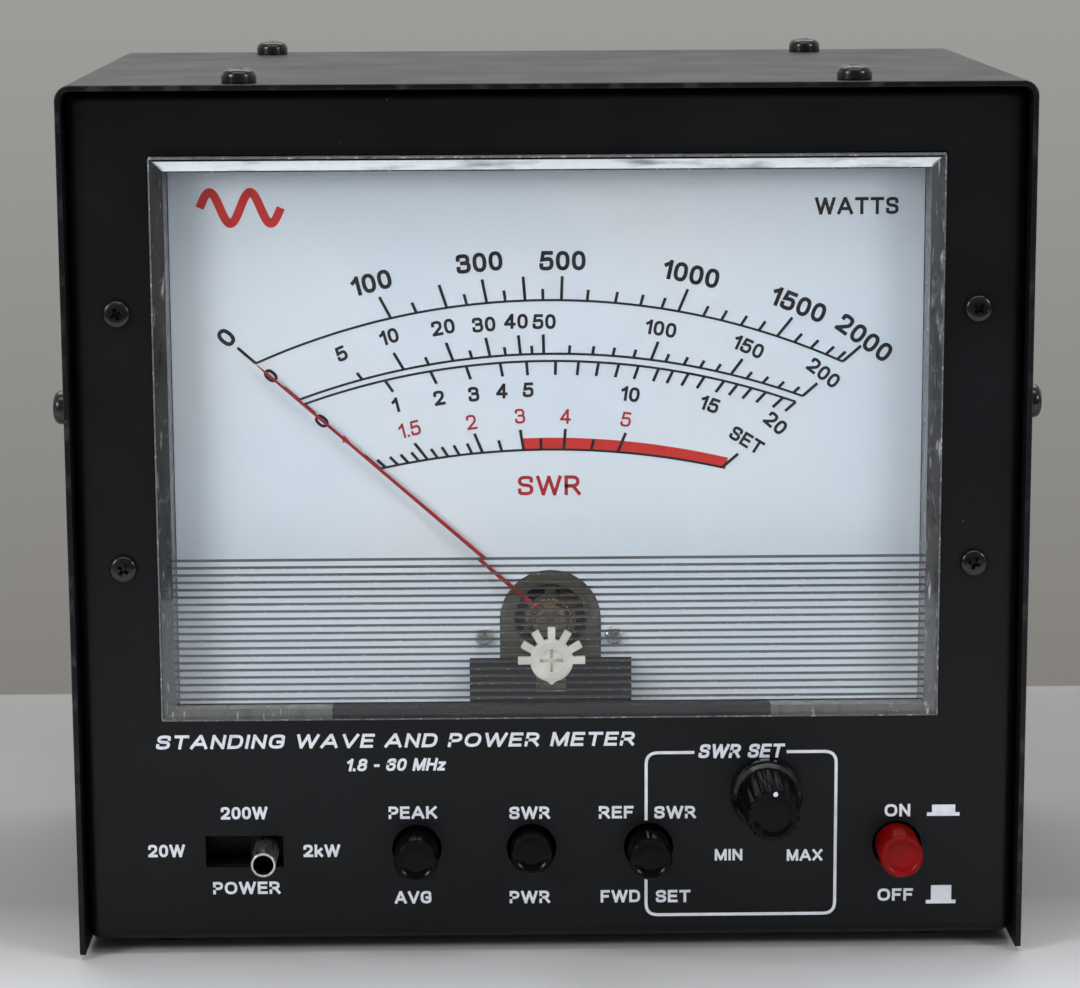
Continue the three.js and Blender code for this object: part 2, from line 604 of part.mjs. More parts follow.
function addMeter() {
  addPiece('meter_case', meterCaseGeometry(), BLACK_PLASTIC);
  addPiece('meter_window', windowGeometry(), CLEAR_PLASTIC);
  addPiece('dial_plate', dialGeometry(), DIAL_WHITE);
  addPiece('magnet_yoke', yokeGeometry(), DARK_STEEL);
  addPiece('magnet_core', coreGeometry(), STEEL);
  addPiece('movement_frame', movementFrameGeometry(), BLACK_PLASTIC);
  addPiece('front_bridge', bridgeGeometry(), BRASS);
  addMovingCoil();
  addPiece('hairspring', hairspringGeometry(), BRASS);
  addPiece('zero_arm', zeroArmGeometry(), BRASS);
  addPiece('zero_adjuster', zeroAdjusterGeometry(), WHITE_PLASTIC);
  const lamp = rod(LAMP.radius, [-LAMP.halfLength, LAMP.halfLength], 0, 0, SMALL_ROUND).rotateZ(Math.PI / 2);
  addPiece('meter_lamp', lamp.translate(0, LAMP.y, WINDOW_TOP - LAMP.belowTop), LAMP_GLASS);

  [-1, 1].forEach((side, i) => {
    const screw = addPiece(`dial_screw_${i + 1}`, screwGeometry(DIAL_SCREW_HEAD), STEEL);
    screw.position.set(side * DIAL_SCREW_X, DIAL_FRONT - UNDER_HEAD, DIAL_SCREW_Z);
    const stud = addPiece(`terminal_stud_${i + 1}`, studGeometry(), BRASS);
    stud.position.set(side * STUD.x, 0, STUD.z);
  });
}

// ---------------------------------------------------------------- front controls
// A button cap and its stem in one piece. A latched button sits its whole travel further in.
function buttonGeometry() {
  const { radius, front, back, stem, stemBack } = BUTTON;
  const cap = turned([
    [0, front + 0.35], [radius - 1.1, front + 0.2], [radius - 0.75, front], [radius - 0.4, front],
    [radius, front + 0.5], [radius, back], [0, back],
  ]);
  return join(cap, block([-stem, stem], [back - 0.5, stemBack], [-stem, stem]));
}

function switchGeometry() {
  const { half, front, back, boreHalf, boreBack } = SWITCH;
  return cut(
    block([-half, half], [front, back], [-half, half]),
    block([-boreHalf, boreHalf], [front - 1, boreBack], [-boreHalf, boreHalf]));
}

function addButtons() {
  for (const { name, x, pressed } of BUTTONS) {
    const color = name === 'on_off' ? RED_PLASTIC : BLACK_GLOSS;
    const button = addPiece(`${name}_button`, buttonGeometry(), color);
    button.position.set(x, pressed ? BUTTON.travel : 0, CONTROL_Z);
    const body = addPiece(`${name}_switch`, switchGeometry(), BLACK_PLASTIC);
    body.position.set(x, 0, CONTROL_Z);
  }
}

// Slide switch: a hollow metal lever on a carriage that slides sideways in a slotted body.
function addSlideSwitch() {
  const middle = (SLOT.left + SLOT.right) / 2;
  const { halfWidth, halfHeight, halfBore, boreBack, front, back } = SLIDE_BODY;
  const body = cut(
    block(
      [middle - halfWidth, middle + halfWidth], [front, back],
      [LEVER.z - halfHeight, LEVER.z + halfHeight]),
    block(
      [SLOT.left - 0.4, SLOT.right + 1.5], [front - 1, boreBack],
      [LEVER.z - halfBore, LEVER.z + halfBore]));
  addPiece('slide_switch', body, BLACK_PLASTIC);

  const lever = join(
    rod(LEVER.radius, [LEVER.front, CARRIAGE.front + 0.5]),
    block([-CARRIAGE.halfWidth, CARRIAGE.halfWidth], [CARRIAGE.front, CARRIAGE.back],
      [-CARRIAGE.halfHeight, CARRIAGE.halfHeight]));
  const hollow = rod(LEVER.radius - LEVER.wall, [LEVER.front - 1, LEVER.boreBack]);
  addPiece('power_lever', cut(lever, hollow), STEEL).position.set(LEVER.x, 0, LEVER.z);
}

// Fluted knob on a skirt, hollow behind for the nut and bored for the control's shaft.
function knobGeometry() {
  const { skirt, waist, face, front, skirtFront, back, flutes } = KNOB;
  const blank = turned([
    [0, front], [face - 0.5, front], [face, front + 0.5], [waist, skirtFront - 1], [skirt - 0.3, skirtFront],
    [skirt, skirtFront + 0.4], [skirt, back], [0, back],
  ], 0, 0, 36);
  const tools = [];
  for (let i = 0; i < flutes; i += 1) {
    const angle = (2 * Math.PI * i) / flutes;
    const flute = rod(FLUTE.radius, [front - 1, skirtFront - 1.2], 0, 0, 8);
    flute.rotateX(-FLUTE.lean).translate(0, 0, face + FLUTE.out).rotateY(angle);
    tools.push(flute);
  }
  tools.push(rod(KNOB_HOLLOW.radius, [skirtFront + KNOB_HOLLOW.front, back + 1]));
  tools.push(rod(POT.shaft + GAP, [front + KNOB_HOLLOW.shaftFront, back + 1]));
  return cut(blank, ...tools);
}

function addSetControl() {
  const control = new THREE.Group();
  control.position.set(KNOB_X, 0, KNOB_Z);
  caseFrame.add(control);

  addPiece('swr_set_knob', knobGeometry(), BLACK_GLOSS, control);
  const shaftBack = POT.back - 2;
  addPiece('control_shaft', rod(POT.shaft, [KNOB.front + 3, shaftBack]), STEEL, control);
  const blank = join(
    rod(POT.body, [POT.front, POT.back]),
    rod(POT.bushing, [POT.threadFront, POT.front + 0.5]));
  const body = cut(blank, rod(POT.shaft + GAP, [0, shaftBack + 0.5]));
  addPiece('control_body', body, DARK_STEEL, control);
  const nut = cut(
    hexagon(POT.nut, [POT.threadFront, PANEL_FRONT - 0.1]), rod(POT.bushing + GAP, [0, PANEL_FRONT]));
  addPiece('control_nut', nut, STEEL, control);
}

function addBoard() {
  const { left, right, front, back, thickness, underSwitches } = BOARD_PLATE;
  const top = CONTROL_Z - SWITCH.half - underSwitches;
  const bottom = top - thickness;
  addPiece('circuit_board', block([left, right], [front, back], [bottom, top]), BOARD);
  [-1, 1].forEach((side, i) => {
    const spacer = rod(SPACER.radius, [FLOOR_INSIDE + 0.05, bottom - 0.05], 0, 0, SMALL_ROUND);
    const piece = addPiece(`board_spacer_${i + 1}`, spacer.rotateX(Math.PI / 2), ALUMINIUM);
    piece.position.set(side * SPACER.x, SPACER.y, 0);
  });
}

// ---------------------------------------------------------------- coupler and rear fittings
function couplerGeometry() {
  const { half, front, bottom, top, wall } = COUPLER;
  const back = REAR_INSIDE - GAP;
  const holes = [-1, 1].map(
    (side) => rod(SOCKET.spigot + GAP, [back - 3, back + 1], side * SOCKET_X, SOCKET_Z));
  return cut(
    block([-half, half], [front, back], [bottom, top]),
    block([wall - half, half - wall], [front + wall, back - wall], [bottom + wall, top - wall]),
    ...holes);
}

// Panel socket: a square flange with a threaded barrel behind the case and a spigot inside it.
function socketGeometry() {
  const flangeFront = REAR_OUTSIDE + GAP;
  const flangeBack = flangeFront + SOCKET.flangeDepth;
  const end = flangeBack + SOCKET.length;
  const { flange, barrel, spigot, bore, boreDepth } = SOCKET;
  const blank = join(
    roundedBlock([-flange, flange], [flangeFront, flangeBack], [-flange, flange], 1.4, 1),
    rod(barrel, [flangeBack - 0.5, end]),
    rod(spigot, [flangeFront - 9, flangeFront + 1]));
  return cut(blank,
    rod(bore, [end - boreDepth, end + 1]),
    rod(INSULATOR.radius + 0.1, [flangeFront - 10, end - boreDepth + 1]));
}

// White insulator in the socket, with the bore of the centre contact.
function insulatorGeometry() {
  const end = REAR_OUTSIDE + GAP + SOCKET.flangeDepth + SOCKET.length;
  const front = REAR_OUTSIDE + GAP - 11;
  const mouth = end - SOCKET.boreDepth;
  return cut(
    rod(INSULATOR.radius, [front, mouth]),
    rod(INSULATOR.contact, [front + 3, mouth + 1], 0, 0, SMALL_ROUND));
}

function addRearFittings() {
  addPiece('coupler_box', couplerGeometry(), ALUMINIUM);
  [-1, 1].forEach((side, i) => {
    const socket = addPiece(`coax_socket_${i + 1}`, socketGeometry(), STEEL);
    const insulator = addPiece(`socket_insulator_${i + 1}`, insulatorGeometry(), WHITE_PLASTIC);
    socket.position.set(side * SOCKET_X, 0, SOCKET_Z);
    insulator.position.set(side * SOCKET_X, 0, SOCKET_Z);
  });

  const jackBlank = join(
    rod(DC_JACK.barrel, [DC_JACK.front, REAR_OUTSIDE + 1]),
    rod(DC_JACK.flange, [REAR_OUTSIDE + 0.1, DC_JACK.back]));
  const jackBore = tube(DC_JACK.bore, DC_JACK.pin, [DC_JACK.front + 3, DC_JACK.back + 1], 0, 0, SMALL_ROUND);
  const jackMouth = rod(DC_JACK.bore, [DC_JACK.back - 1.5, DC_JACK.back + 1], 0, 0, SMALL_ROUND);
  addPiece('dc_jack', cut(jackBlank, jackBore, jackMouth), BLACK_PLASTIC)
    .position.set(REAR_FITTING_X, 0, REAR_FITTING_Z);

  const ground = join(
    rod(GROUND.stud, [GROUND.front, GROUND.back], 0, 0, SMALL_ROUND),
    hexagon(GROUND.nut, [REAR_OUTSIDE + 0.1, REAR_OUTSIDE + 3.6]),
    roundedBlock([-GROUND.wing, GROUND.wing], [REAR_OUTSIDE + 4.5, REAR_OUTSIDE + 8.5],
      [-GROUND.wingHalf, GROUND.wingHalf], 1.2, 1),
    rod(GROUND.hub, [REAR_OUTSIDE + 3.4, REAR_OUTSIDE + 8], 0, 0, SMALL_ROUND));
  addPiece('ground_post', ground, BRASS).position.set(-REAR_FITTING_X, 0, REAR_FITTING_Z);
}

addCase();
addMeter();
addButtons();
addSlideSwitch();
addSetControl();
addBoard();
addRearFittings();

export default group;
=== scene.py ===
"""A bench SWR and power meter: its finished surfaces, printing and light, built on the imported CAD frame.

Millimetres are measured from the case: x = 0 at its middle, y = 0 at the cover's front rim with +y
towards the back, and z = 0 at the lower edges of the cover. TO_FRAME turns them into the frame's metres.
"""
import math

import bmesh
import bpy
from mathutils import Matrix, Vector


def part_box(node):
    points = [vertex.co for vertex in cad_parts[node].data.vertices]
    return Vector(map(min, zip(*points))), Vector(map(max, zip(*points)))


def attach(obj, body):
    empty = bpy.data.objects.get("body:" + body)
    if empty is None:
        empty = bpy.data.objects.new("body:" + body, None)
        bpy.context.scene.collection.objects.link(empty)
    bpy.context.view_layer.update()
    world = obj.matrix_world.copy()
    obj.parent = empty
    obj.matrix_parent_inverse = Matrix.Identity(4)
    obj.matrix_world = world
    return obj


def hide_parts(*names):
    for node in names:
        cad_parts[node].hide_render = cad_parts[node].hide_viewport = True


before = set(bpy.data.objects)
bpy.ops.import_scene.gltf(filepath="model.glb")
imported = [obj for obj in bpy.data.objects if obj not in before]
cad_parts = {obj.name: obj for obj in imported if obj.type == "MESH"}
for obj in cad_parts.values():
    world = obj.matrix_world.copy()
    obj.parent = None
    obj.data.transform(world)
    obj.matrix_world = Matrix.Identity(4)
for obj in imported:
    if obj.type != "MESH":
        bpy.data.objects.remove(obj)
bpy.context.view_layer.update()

MM = 0.001
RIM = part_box("top_cover")[0].copy()
RIM.x = 0.0
TO_FRAME = Matrix.Translation(RIM) @ Matrix.Scale(MM, 4)


def add_object(name, data):
    """A new object in the scene."""
    made = bpy.data.objects.new(name, data)
    bpy.context.scene.collection.objects.link(made)
    return made


def span(node):
    """A CAD node's lowest and highest corners, in case millimetres."""
    low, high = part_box(node)
    return (low - RIM) / MM, (high - RIM) / MM


def centre_of(node):
    """The middle of a CAD node's box, in case millimetres."""
    low, high = span(node)
    return (low + high) / 2


# ------------------------------------------------------------------ sizes, in case millimetres
SHEET = 1.2
COVER_BEND = 3.0
CHASSIS_BEND = 2.5
COVER_HIGH = span("top_cover")[1]
CHASSIS_LOW, CHASSIS_HIGH = span("chassis")
PANEL = CHASSIS_LOW.y
REAR = CHASSIS_HIGH.y
FLANGE = 12.0
BOTTOM_FLANGE = 8.0
GAP = 0.3

WINDOW_LOW, WINDOW_HIGH = span("meter_window")
WINDOW_FACE = 2.0
WINDOW_WALL = 2.2
WINDOW_SIDE = 2.8
RIBS = 20
RIB_PITCH = 1.49
RIB_TOP = 80.3
RIB_DEPTH = 0.32
RIB_LEDGE = 0.62
# The lower share of each rib ledge, which bends a little and carries a painted glint.
RIB_GLINT = 0.22

# The top wall of the window from above, in painted bands: a highlight line, a shade line, a lit band and a
# half shaded line. Each is (upper edge, lower edge, number of its finish).
TOP_BANDS = [(160.6, 160.25, 0), (160.25, 159.75, 4), (159.75, 157.9, 0), (157.9, 157.6, 2)]
# The bottom wall is dark between these places, and frosted beyond them.
DARK_FROM, DARK_TO = -43.6, 44.3

DIAL = span("dial_plate")[0].y
PIVOT = Vector((0.3, 0.0, 67.5))
POINTER_LENGTH = 77.5
POINTER_REST = -48.7
ADJUSTER_Z = 60.4
STAR = {"body": 4.3, "tip": 6.7, "front": -0.7, "back": 0.7, "tooth": 0.75, "dish": 2.5, "teeth": 7}
ZERO_PIN = {"radius": 0.5, "front": 3.6, "back": 6.2, "eccentric": 1.2}
LEVER = {"x": -57.4, "z": 20.55, "radius": 2.5, "wall": 0.5, "front": -6.8, "bore": 6.4, "back": 8.5}

BUTTON_HOLE = 4.95
SLOT = {"left": -69.6, "right": -53.95, "bottom": 17.3, "top": 23.8}
KNOB = {"skirt": 7.2, "waist": 6.1, "face": 5.3, "front": -15.0, "back": 2.4, "flutes": 18}
KNOB_PLACE = (43.5, 32.0)
KNOB_DOT = {"turn": 5, "from_middle": 4.5, "radius": 0.48, "proud": 0.07}
INK = 0.03

SCREW = {"radius": 3.45, "height": 2.8, "shank": 1.5, "length": 7.0, "cross": 1.75}
PANEL_SCREW = {"radius": 2.7, "height": 1.3, "shank": 1.3, "length": 6.5, "cross": 1.45}
DIAL_SCREW = {"radius": 1.9, "height": 1.1, "shank": 1.0, "length": 5.0, "cross": 1.05}


# ------------------------------------------------------------------ camera
CAMERA_PLACE = (-11.8, -654.8, 214.6)
CAMERA_YAW, CAMERA_PITCH, CAMERA_ROLL = -0.87, -10.43, 0.27
LENS = 112.5


def add_camera():
    data = bpy.data.cameras.new("camera")
    data.lens = LENS
    data.sensor_width = 36.0
    data.clip_start = 0.02
    data.clip_end = 20.0
    camera = add_object("camera", data)
    turn = (
        Matrix.Rotation(math.radians(CAMERA_YAW), 4, "Z")
        @ Matrix.Rotation(math.radians(CAMERA_PITCH), 4, "X")
        @ Matrix.Rotation(math.radians(CAMERA_ROLL), 4, "Y")
        @ Matrix.Rotation(math.radians(90), 4, "X")
    )
    camera.matrix_world = Matrix.Translation(TO_FRAME @ Vector(CAMERA_PLACE)) @ turn
    bpy.context.scene.camera = camera


add_camera()
bpy.context.scene.view_settings.view_transform = "Standard"


# ------------------------------------------------------------------ finishes
class Finish:
    """A Principled material whose colour, roughness and relief vary with noise measured in millimetres."""

    def __init__(self, name, color, roughness=0.5, metallic=0.0, **uniform):
        self.material = bpy.data.materials.new(name)
        self.material.use_nodes = True
        self.tree = self.material.node_tree
        self.shader = self.tree.nodes["Principled BSDF"]
        self.color = (*color, 1.0)
        self.set("Base Color", self.color)
        self.set("Roughness", roughness)
        self.set("Metallic", metallic)
        for label, value in uniform.items():
            self.set(label.replace("_", " ").title().replace("Ior", "IOR"), value)
        scale = self.node("ShaderNodeVectorMath", operation="SCALE")
        scale.inputs["Scale"].default_value = 1 / MM
        self.link(self.node("ShaderNodeTexCoord").outputs["Object"], scale.inputs[0])
        self.place = scale.outputs[0]
        self.normal = None

    def node(self, kind, **settings):
        made = self.tree.nodes.new(kind)
        for name, value in settings.items():
            setattr(made, name, value)
        return made

    def link(self, source, target):
        self.tree.links.new(source, target)

    def set(self, label, value):
        self.shader.inputs[label].default_value = value

    def noise(self, size, detail=3.0, stretch=(1, 1, 1), shift=0.0):
        """Soft noise whose blobs are about size millimetres, longer along a stretched axis."""
        spread = self.node("ShaderNodeVectorMath", operation="MULTIPLY_ADD")
        spread.inputs[1].default_value = [1 / (size * s) for s in stretch]
        spread.inputs[2].default_value = (shift, shift, shift)
        self.link(self.place, spread.inputs[0])
        texture = self.node("ShaderNodeTexNoise")
        texture.inputs["Scale"].default_value = 1.0
        texture.inputs["Detail"].default_value = detail
        self.link(spread.outputs[0], texture.inputs["Vector"])
        return texture.outputs["Fac"]

    def remap(self, source, low, high, to_low=0.0, to_high=1.0):
        ramp = self.node("ShaderNodeMapRange")
        ramp.inputs["From Min"].default_value = low
        ramp.inputs["From Max"].default_value = high
        ramp.inputs["To Min"].default_value = to_low
        ramp.inputs["To Max"].default_value = to_high
        self.link(source, ramp.inputs["Value"])
        return ramp.outputs["Result"]

    def times(self, first, second):
        product = self.node("ShaderNodeMath", operation="MULTIPLY")
        for source, target in zip((first, second), product.inputs):
            if isinstance(source, float):
                target.default_value = source
            else:
                self.link(source, target)
        return product.outputs[0]

    def along(self, axis, low, high):
        """0 before low and 1 after high, along an axis in case millimetres."""
        split = self.node("ShaderNodeSeparateXYZ")
        self.link(self.place, split.inputs[0])
        offset = (RIM / MM)["XYZ".index(axis)]
        return self.remap(split.outputs[axis], low + offset, high + offset)

    def tint(self, color, mask, low=0.0, high=1.0):
        """Mixes another colour in where the mask rises from low to high."""
        mix = self.node("ShaderNodeMix", data_type="RGBA")
        entry = self.shader.inputs["Base Color"]
        if entry.is_linked:
            self.link(entry.links[0].from_socket, mix.inputs[6])
        else:
            mix.inputs[6].default_value = self.color
        mix.inputs[7].default_value = (*color, 1.0)
        self.link(self.remap(mask, low, high), mix.inputs[0])
        self.link(mix.outputs[2], entry)
        return self

    def rough(self, mask, smooth, dull):
        self.link(self.remap(mask, 0.3, 0.7, smooth, dull), self.shader.inputs["Roughness"])
        return self

    def relief(self, height, depth):
        """Raises the surface by depth millimetres where the height mask is 1."""
        bump = self.node("ShaderNodeBump")
        bump.inputs["Strength"].default_value = 1.0
        bump.inputs["Distance"].default_value = depth * MM
        self.link(height, bump.inputs["Height"])
        if self.normal is not None:
            self.link(self.normal, bump.inputs["Normal"])
        self.normal = bump.outputs[0]
        self.link(self.normal, self.shader.inputs["Normal"])
        return self


def dusty(finish, color, size, share):
    """Scattered specks of lint and rubbed spots."""
    return finish.tint(color, finish.noise(size, 1.0, shift=40.0), share, share + 0.06)


def powder_paint():
    """Satin black powder coat: a fine orange peel, a few light specks, and wear along the front rims."""
    finish = Finish("black_paint", (0.0038, 0.0042, 0.0055), specular_ior_level=0.22)
    finish.rough(finish.noise(18, 4.0), 0.36, 0.46)
    finish.tint((0.0060, 0.0066, 0.0084), finish.noise(35, 3.0), 0.35, 0.75)
    rim = finish.along("Y", 0.55, 0.05)
    finish.tint((0.030, 0.031, 0.033), finish.times(rim, finish.noise(5, 4.0)), 0.52, 0.66)
    dusty(finish, (0.16, 0.16, 0.155), 0.7, 0.80)
    finish.relief(finish.noise(0.62, 2.0), 0.028)
    finish.relief(finish.noise(2.4, 2.0), 0.035)
    return finish.material


def moulded(name, color, smooth, dull, grain=0.5, depth=0.012, speck=None, **uniform):
    """Moulded plastic: faint flow marks in the gloss and a very fine grain."""
    finish = Finish(name, color, **uniform)
    finish.rough(finish.noise(4, 4.0), smooth, dull)
    finish.tint([c * 1.5 + 0.0003 for c in color], finish.noise(6, 4.0, shift=9.0), 0.45, 0.85)
    if speck:
        dusty(finish, speck, 0.7, 0.72)
    finish.relief(finish.noise(grain, 2.0), depth)
    return finish.material


def metal(name, color, smooth, dull, stretch=(1, 1, 1), stain=None):
    """Bare or plated metal with drawn marks along one axis and dull stains."""
    finish = Finish(name, color, metallic=1.0)
    finish.rough(finish.noise(0.5, 4.0, stretch), smooth, dull)
    finish.tint(stain or [c * 0.6 for c in color], finish.noise(3.5, 5.0, shift=3.0), 0.50, 0.80)
    finish.relief(finish.noise(0.3, 3.0, stretch), 0.008)
    return finish.material


def let_lamps_through(finish):
    """Lamps shine through the piece, as they do through thin clear plastic."""
    share = 0.97
    lamps = finish.node("ShaderNodeLightPath").outputs["Is Shadow Ray"]
    through = finish.node("ShaderNodeBsdfTransparent")
    through.inputs["Color"].default_value = (share, share, share, 1.0)
    mix = finish.node("ShaderNodeMixShader")
    finish.link(lamps, mix.inputs[0])
    finish.link(finish.shader.outputs[0], mix.inputs[1])
    finish.link(through.outputs[0], mix.inputs[2])
    finish.link(mix.outputs[0], finish.tree.nodes["Material Output"].inputs["Surface"])
    return finish.material


def clear_plastic():
    """Clear acrylic, very slightly uneven."""
    finish = Finish("clear_plastic", (0.96, 0.975, 0.975), roughness=0.02, IOR=1.40)
    finish.set("Transmission Weight", 1.0)
    finish.relief(finish.noise(9, 2.0), 0.004)
    return let_lamps_through(finish)


def window_wall(name, color, marks, share, along=(1, 1, 1), smooth=0.12, specular=0.5):
    """A wall of the window as it looks through the face: one opaque tone painted with the light and shade
    seen in that part of the clear wall, with scratches and lighter marks.
    """
    finish = Finish(name, color, specular_ior_level=specular)
    finish.tint(marks, finish.noise(0.8, 4.0, along), share, share + 0.12)
    finish.tint([c * 0.35 for c in color], finish.noise(2.2, 4.0, along, 7.0), 0.52, 0.75)
    finish.rough(finish.noise(3, 3.0), smooth, smooth + 0.2)
    finish.relief(finish.noise(0.5, 3.0, along), 0.03)
    return let_lamps_through(finish)


def rib_shade():
    """The moulded ledges of the ribs: dark against the dial, and faintly light against the movement."""
    finish = Finish("rib_shade", (0.055, 0.058, 0.066), roughness=0.35)
    finish.tint((0.10, 0.105, 0.115), finish.noise(6, 3.0, (3, 1, 1)), 0.40, 0.75)
    finish.set("Alpha", 0.88)
    return let_lamps_through(finish)


def dial_paint():
    """Pale blue-white paint of the scale sheet, a little uneven."""
    finish = Finish("dial_paint", (0.68, 0.76, 0.86))
    finish.rough(finish.noise(12, 3.0), 0.42, 0.55)
    finish.tint((0.74, 0.79, 0.85), finish.noise(45, 2.0), 0.35, 0.70)
    finish.relief(finish.noise(0.4, 3.0), 0.006)
    return finish.material


def ink(name, color, roughness):
    """Screen printed ink, slightly uneven in cover and sheen."""
    finish = Finish(name, color)
    finish.rough(finish.noise(1.5, 3.0), roughness - 0.06, roughness + 0.10)
    finish.tint([c * 0.8 for c in color], finish.noise(2.2, 4.0), 0.45, 0.85)
    finish.relief(finish.noise(0.25, 2.0), 0.006)
    return finish.material


def copper_winding():
    """Enamelled wire wound round the coil: fine ridges along the axis."""
    finish = Finish("copper_wire", (0.24, 0.10, 0.05), metallic=1.0)
    wave = finish.node("ShaderNodeTexWave", wave_type="BANDS", bands_direction="Y")
    wave.inputs["Scale"].default_value = 2.4
    finish.link(finish.place, wave.inputs["Vector"])
    finish.rough(finish.noise(1.2, 3.0), 0.22, 0.40)
    finish.tint((0.11, 0.04, 0.02), wave.outputs["Fac"], 0.2, 0.9)
    finish.relief(wave.outputs["Fac"], 0.06)
    return finish.material


def circuit_board():
    """Green solder mask over tracks that show as faint raised lines."""
    finish = Finish("board", (0.02, 0.10, 0.035))
    tracks = finish.node("ShaderNodeTexBrick", offset=0.35, squash=0.6)
    tracks.inputs["Scale"].default_value = 0.16
    tracks.inputs["Mortar Size"].default_value = 0.06
    finish.link(finish.place, tracks.inputs["Vector"])
    finish.tint((0.05, 0.19, 0.06), tracks.outputs["Fac"], 0.2, 0.8)
    finish.rough(finish.noise(5, 3.0), 0.28, 0.42)
    finish.relief(tracks.outputs["Fac"], 0.05)
    return finish.material


def rubber():
    """Dull black rubber with dust on it."""
    finish = Finish("rubber", (0.016, 0.016, 0.017))
    finish.rough(finish.noise(2.5, 3.0), 0.72, 0.90)
    finish.relief(finish.noise(0.35, 3.0), 0.03)
    return dusty(finish, (0.11, 0.11, 0.105), 0.8, 0.66).material


def floor_cloth():
    """Pale cloth with a fine weave and slow, soft undulations, and painted shade that darkens it towards the
    back.
    """
    finish = Finish("floor_cloth", (0.84, 0.86, 0.90), specular_ior_level=0.2)
    finish.rough(finish.noise(40, 3.0), 0.85, 0.95)
    # Painted shade: the cloth grows darker from 60 mm in front of the rim to 40 mm behind it.
    finish.tint((0.33, 0.33, 0.325), finish.along("Y", -60, 40))
    finish.tint((0.40, 0.40, 0.395), finish.noise(160, 3.0), 0.60, 0.85)
    finish.relief(finish.noise(0.7, 2.0), 0.05)
    finish.relief(finish.noise(55, 2.0, (1.0, 2.5, 1.0)), 2.2)
    return finish.material


BLACK_PAINT = powder_paint()
BLACK_SCREW = moulded(
    "black_screw", (0.0045, 0.0045, 0.005), 0.16, 0.30, 0.8, 0.012, speck=(0.10, 0.10, 0.10)
)
BLACK_PLASTIC = moulded(
    "black_plastic", (0.006, 0.006, 0.0058), 0.38, 0.55, speck=(0.05, 0.05, 0.05), specular_ior_level=0.14
)
BLACK_GLOSS = moulded("black_gloss", (0.0012, 0.0012, 0.0015), 0.14, 0.22, 2.0, 0.01, specular_ior_level=0.12)
SKIRT_GLOSS = moulded("skirt_gloss", (0.002, 0.002, 0.0024), 0.16, 0.28, 2.0, 0.01, specular_ior_level=0.75)
RED_GLOSS = moulded("red_gloss", (0.215, 0.0015, 0.0022), 0.24, 0.36, 2.0, 0.01, specular_ior_level=0.14)
WHITE_PLASTIC = moulded("white_plastic", (0.58, 0.58, 0.525), 0.35, 0.50, 0.6, 0.01)
CLEAR_PLASTIC = clear_plastic()
# A grey frosted finish for the rim of the face, which also stands in for its highlight, and painted glints on
# the rib ledges.
EDGE_AND_PAINTED_GLINT = window_wall("edge_and_painted_glint", (0.16, 0.165, 0.17), (0.55, 0.56, 0.57), 0.56, smooth=0.25)
RIB_SHADE = rib_shade()
# Tones painted for the clear walls of the window: a lit white, a shaded dark grey and a half shaded grey
# stand in for the light and shade seen in them.
WALL_PAINTED_LIGHT = window_wall("wall_painted_light", (0.84, 0.90, 0.95), (0.95, 0.96, 0.97), 0.60, (6, 1, 1))
WALL_PAINTED_SHADE = window_wall("wall_painted_shade", (0.042, 0.043, 0.045), (0.30, 0.31, 0.32), 0.60, (1, 1, 6))
WALL_PAINTED_HALF_SHADE = window_wall("wall_painted_half_shade", (0.075, 0.077, 0.080), (0.42, 0.43, 0.44), 0.58, (1, 1, 6))
WALL_FROSTED = window_wall("wall_frosted", (0.085, 0.085, 0.08), (0.50, 0.50, 0.48), 0.60, (1, 1, 4), 0.3)
WALL_DARK = window_wall("wall_dark", (0.003, 0.003, 0.003), (0.012, 0.012, 0.011), 0.62, (5, 1, 1), 0.5, 0.02)
DIAL_PAINT = dial_paint()
BLACK_INK = ink("black_ink", (0.012, 0.013, 0.018), 0.45)
RED_INK = ink("red_ink", (0.40, 0.015, 0.020), 0.42)
BAND_INK = ink("band_ink", (0.60, 0.030, 0.026), 0.42)
WHITE_INK = ink("white_ink", (0.86, 0.90, 0.97), 0.50)
POINTER_RED = moulded("pointer_red", (0.30, 0.012, 0.018), 0.40, 0.55, 1.0, 0.01, specular_ior_level=0.2)
PLATED_STEEL = metal("plated_steel", (0.66, 0.66, 0.65), 0.24, 0.40, (1, 6, 1))
DARK_IRON = metal("dark_iron", (0.16, 0.145, 0.105), 0.40, 0.58, stain=(0.055, 0.045, 0.030))
BLACKENED = metal("blackened_brass", (0.30, 0.245, 0.17), 0.26, 0.42, (1, 5, 1), stain=(0.10, 0.07, 0.045))
BRASS = metal("brass", (0.60, 0.40, 0.14), 0.20, 0.36, (1, 5, 1))
ALUMINIUM = metal("aluminium", (0.58, 0.59, 0.60), 0.28, 0.42, (8, 1, 1))
COPPER = copper_winding()
RUBBER = rubber()
BOARD = circuit_board()
LAMP_GLASS = moulded("lamp_glass", (0.80, 0.74, 0.56), 0.08, 0.16, 3.0, 0.02, transmission_weight=0.6)


# ------------------------------------------------------------------ mesh building
def add_ring_faces(bm, first, second):
    """Joins two rings of vertices. A ring of one vertex is a pole."""
    count = max(len(first), len(second))
    for i in range(count):
        j = (i + 1) % count
        if len(first) == 1:
            bm.faces.new((first[0], second[i], second[j]))
        elif len(second) == 1:
            bm.faces.new((first[i], second[0], first[j]))
        else:
            bm.faces.new((first[i], second[i], second[j], first[j]))


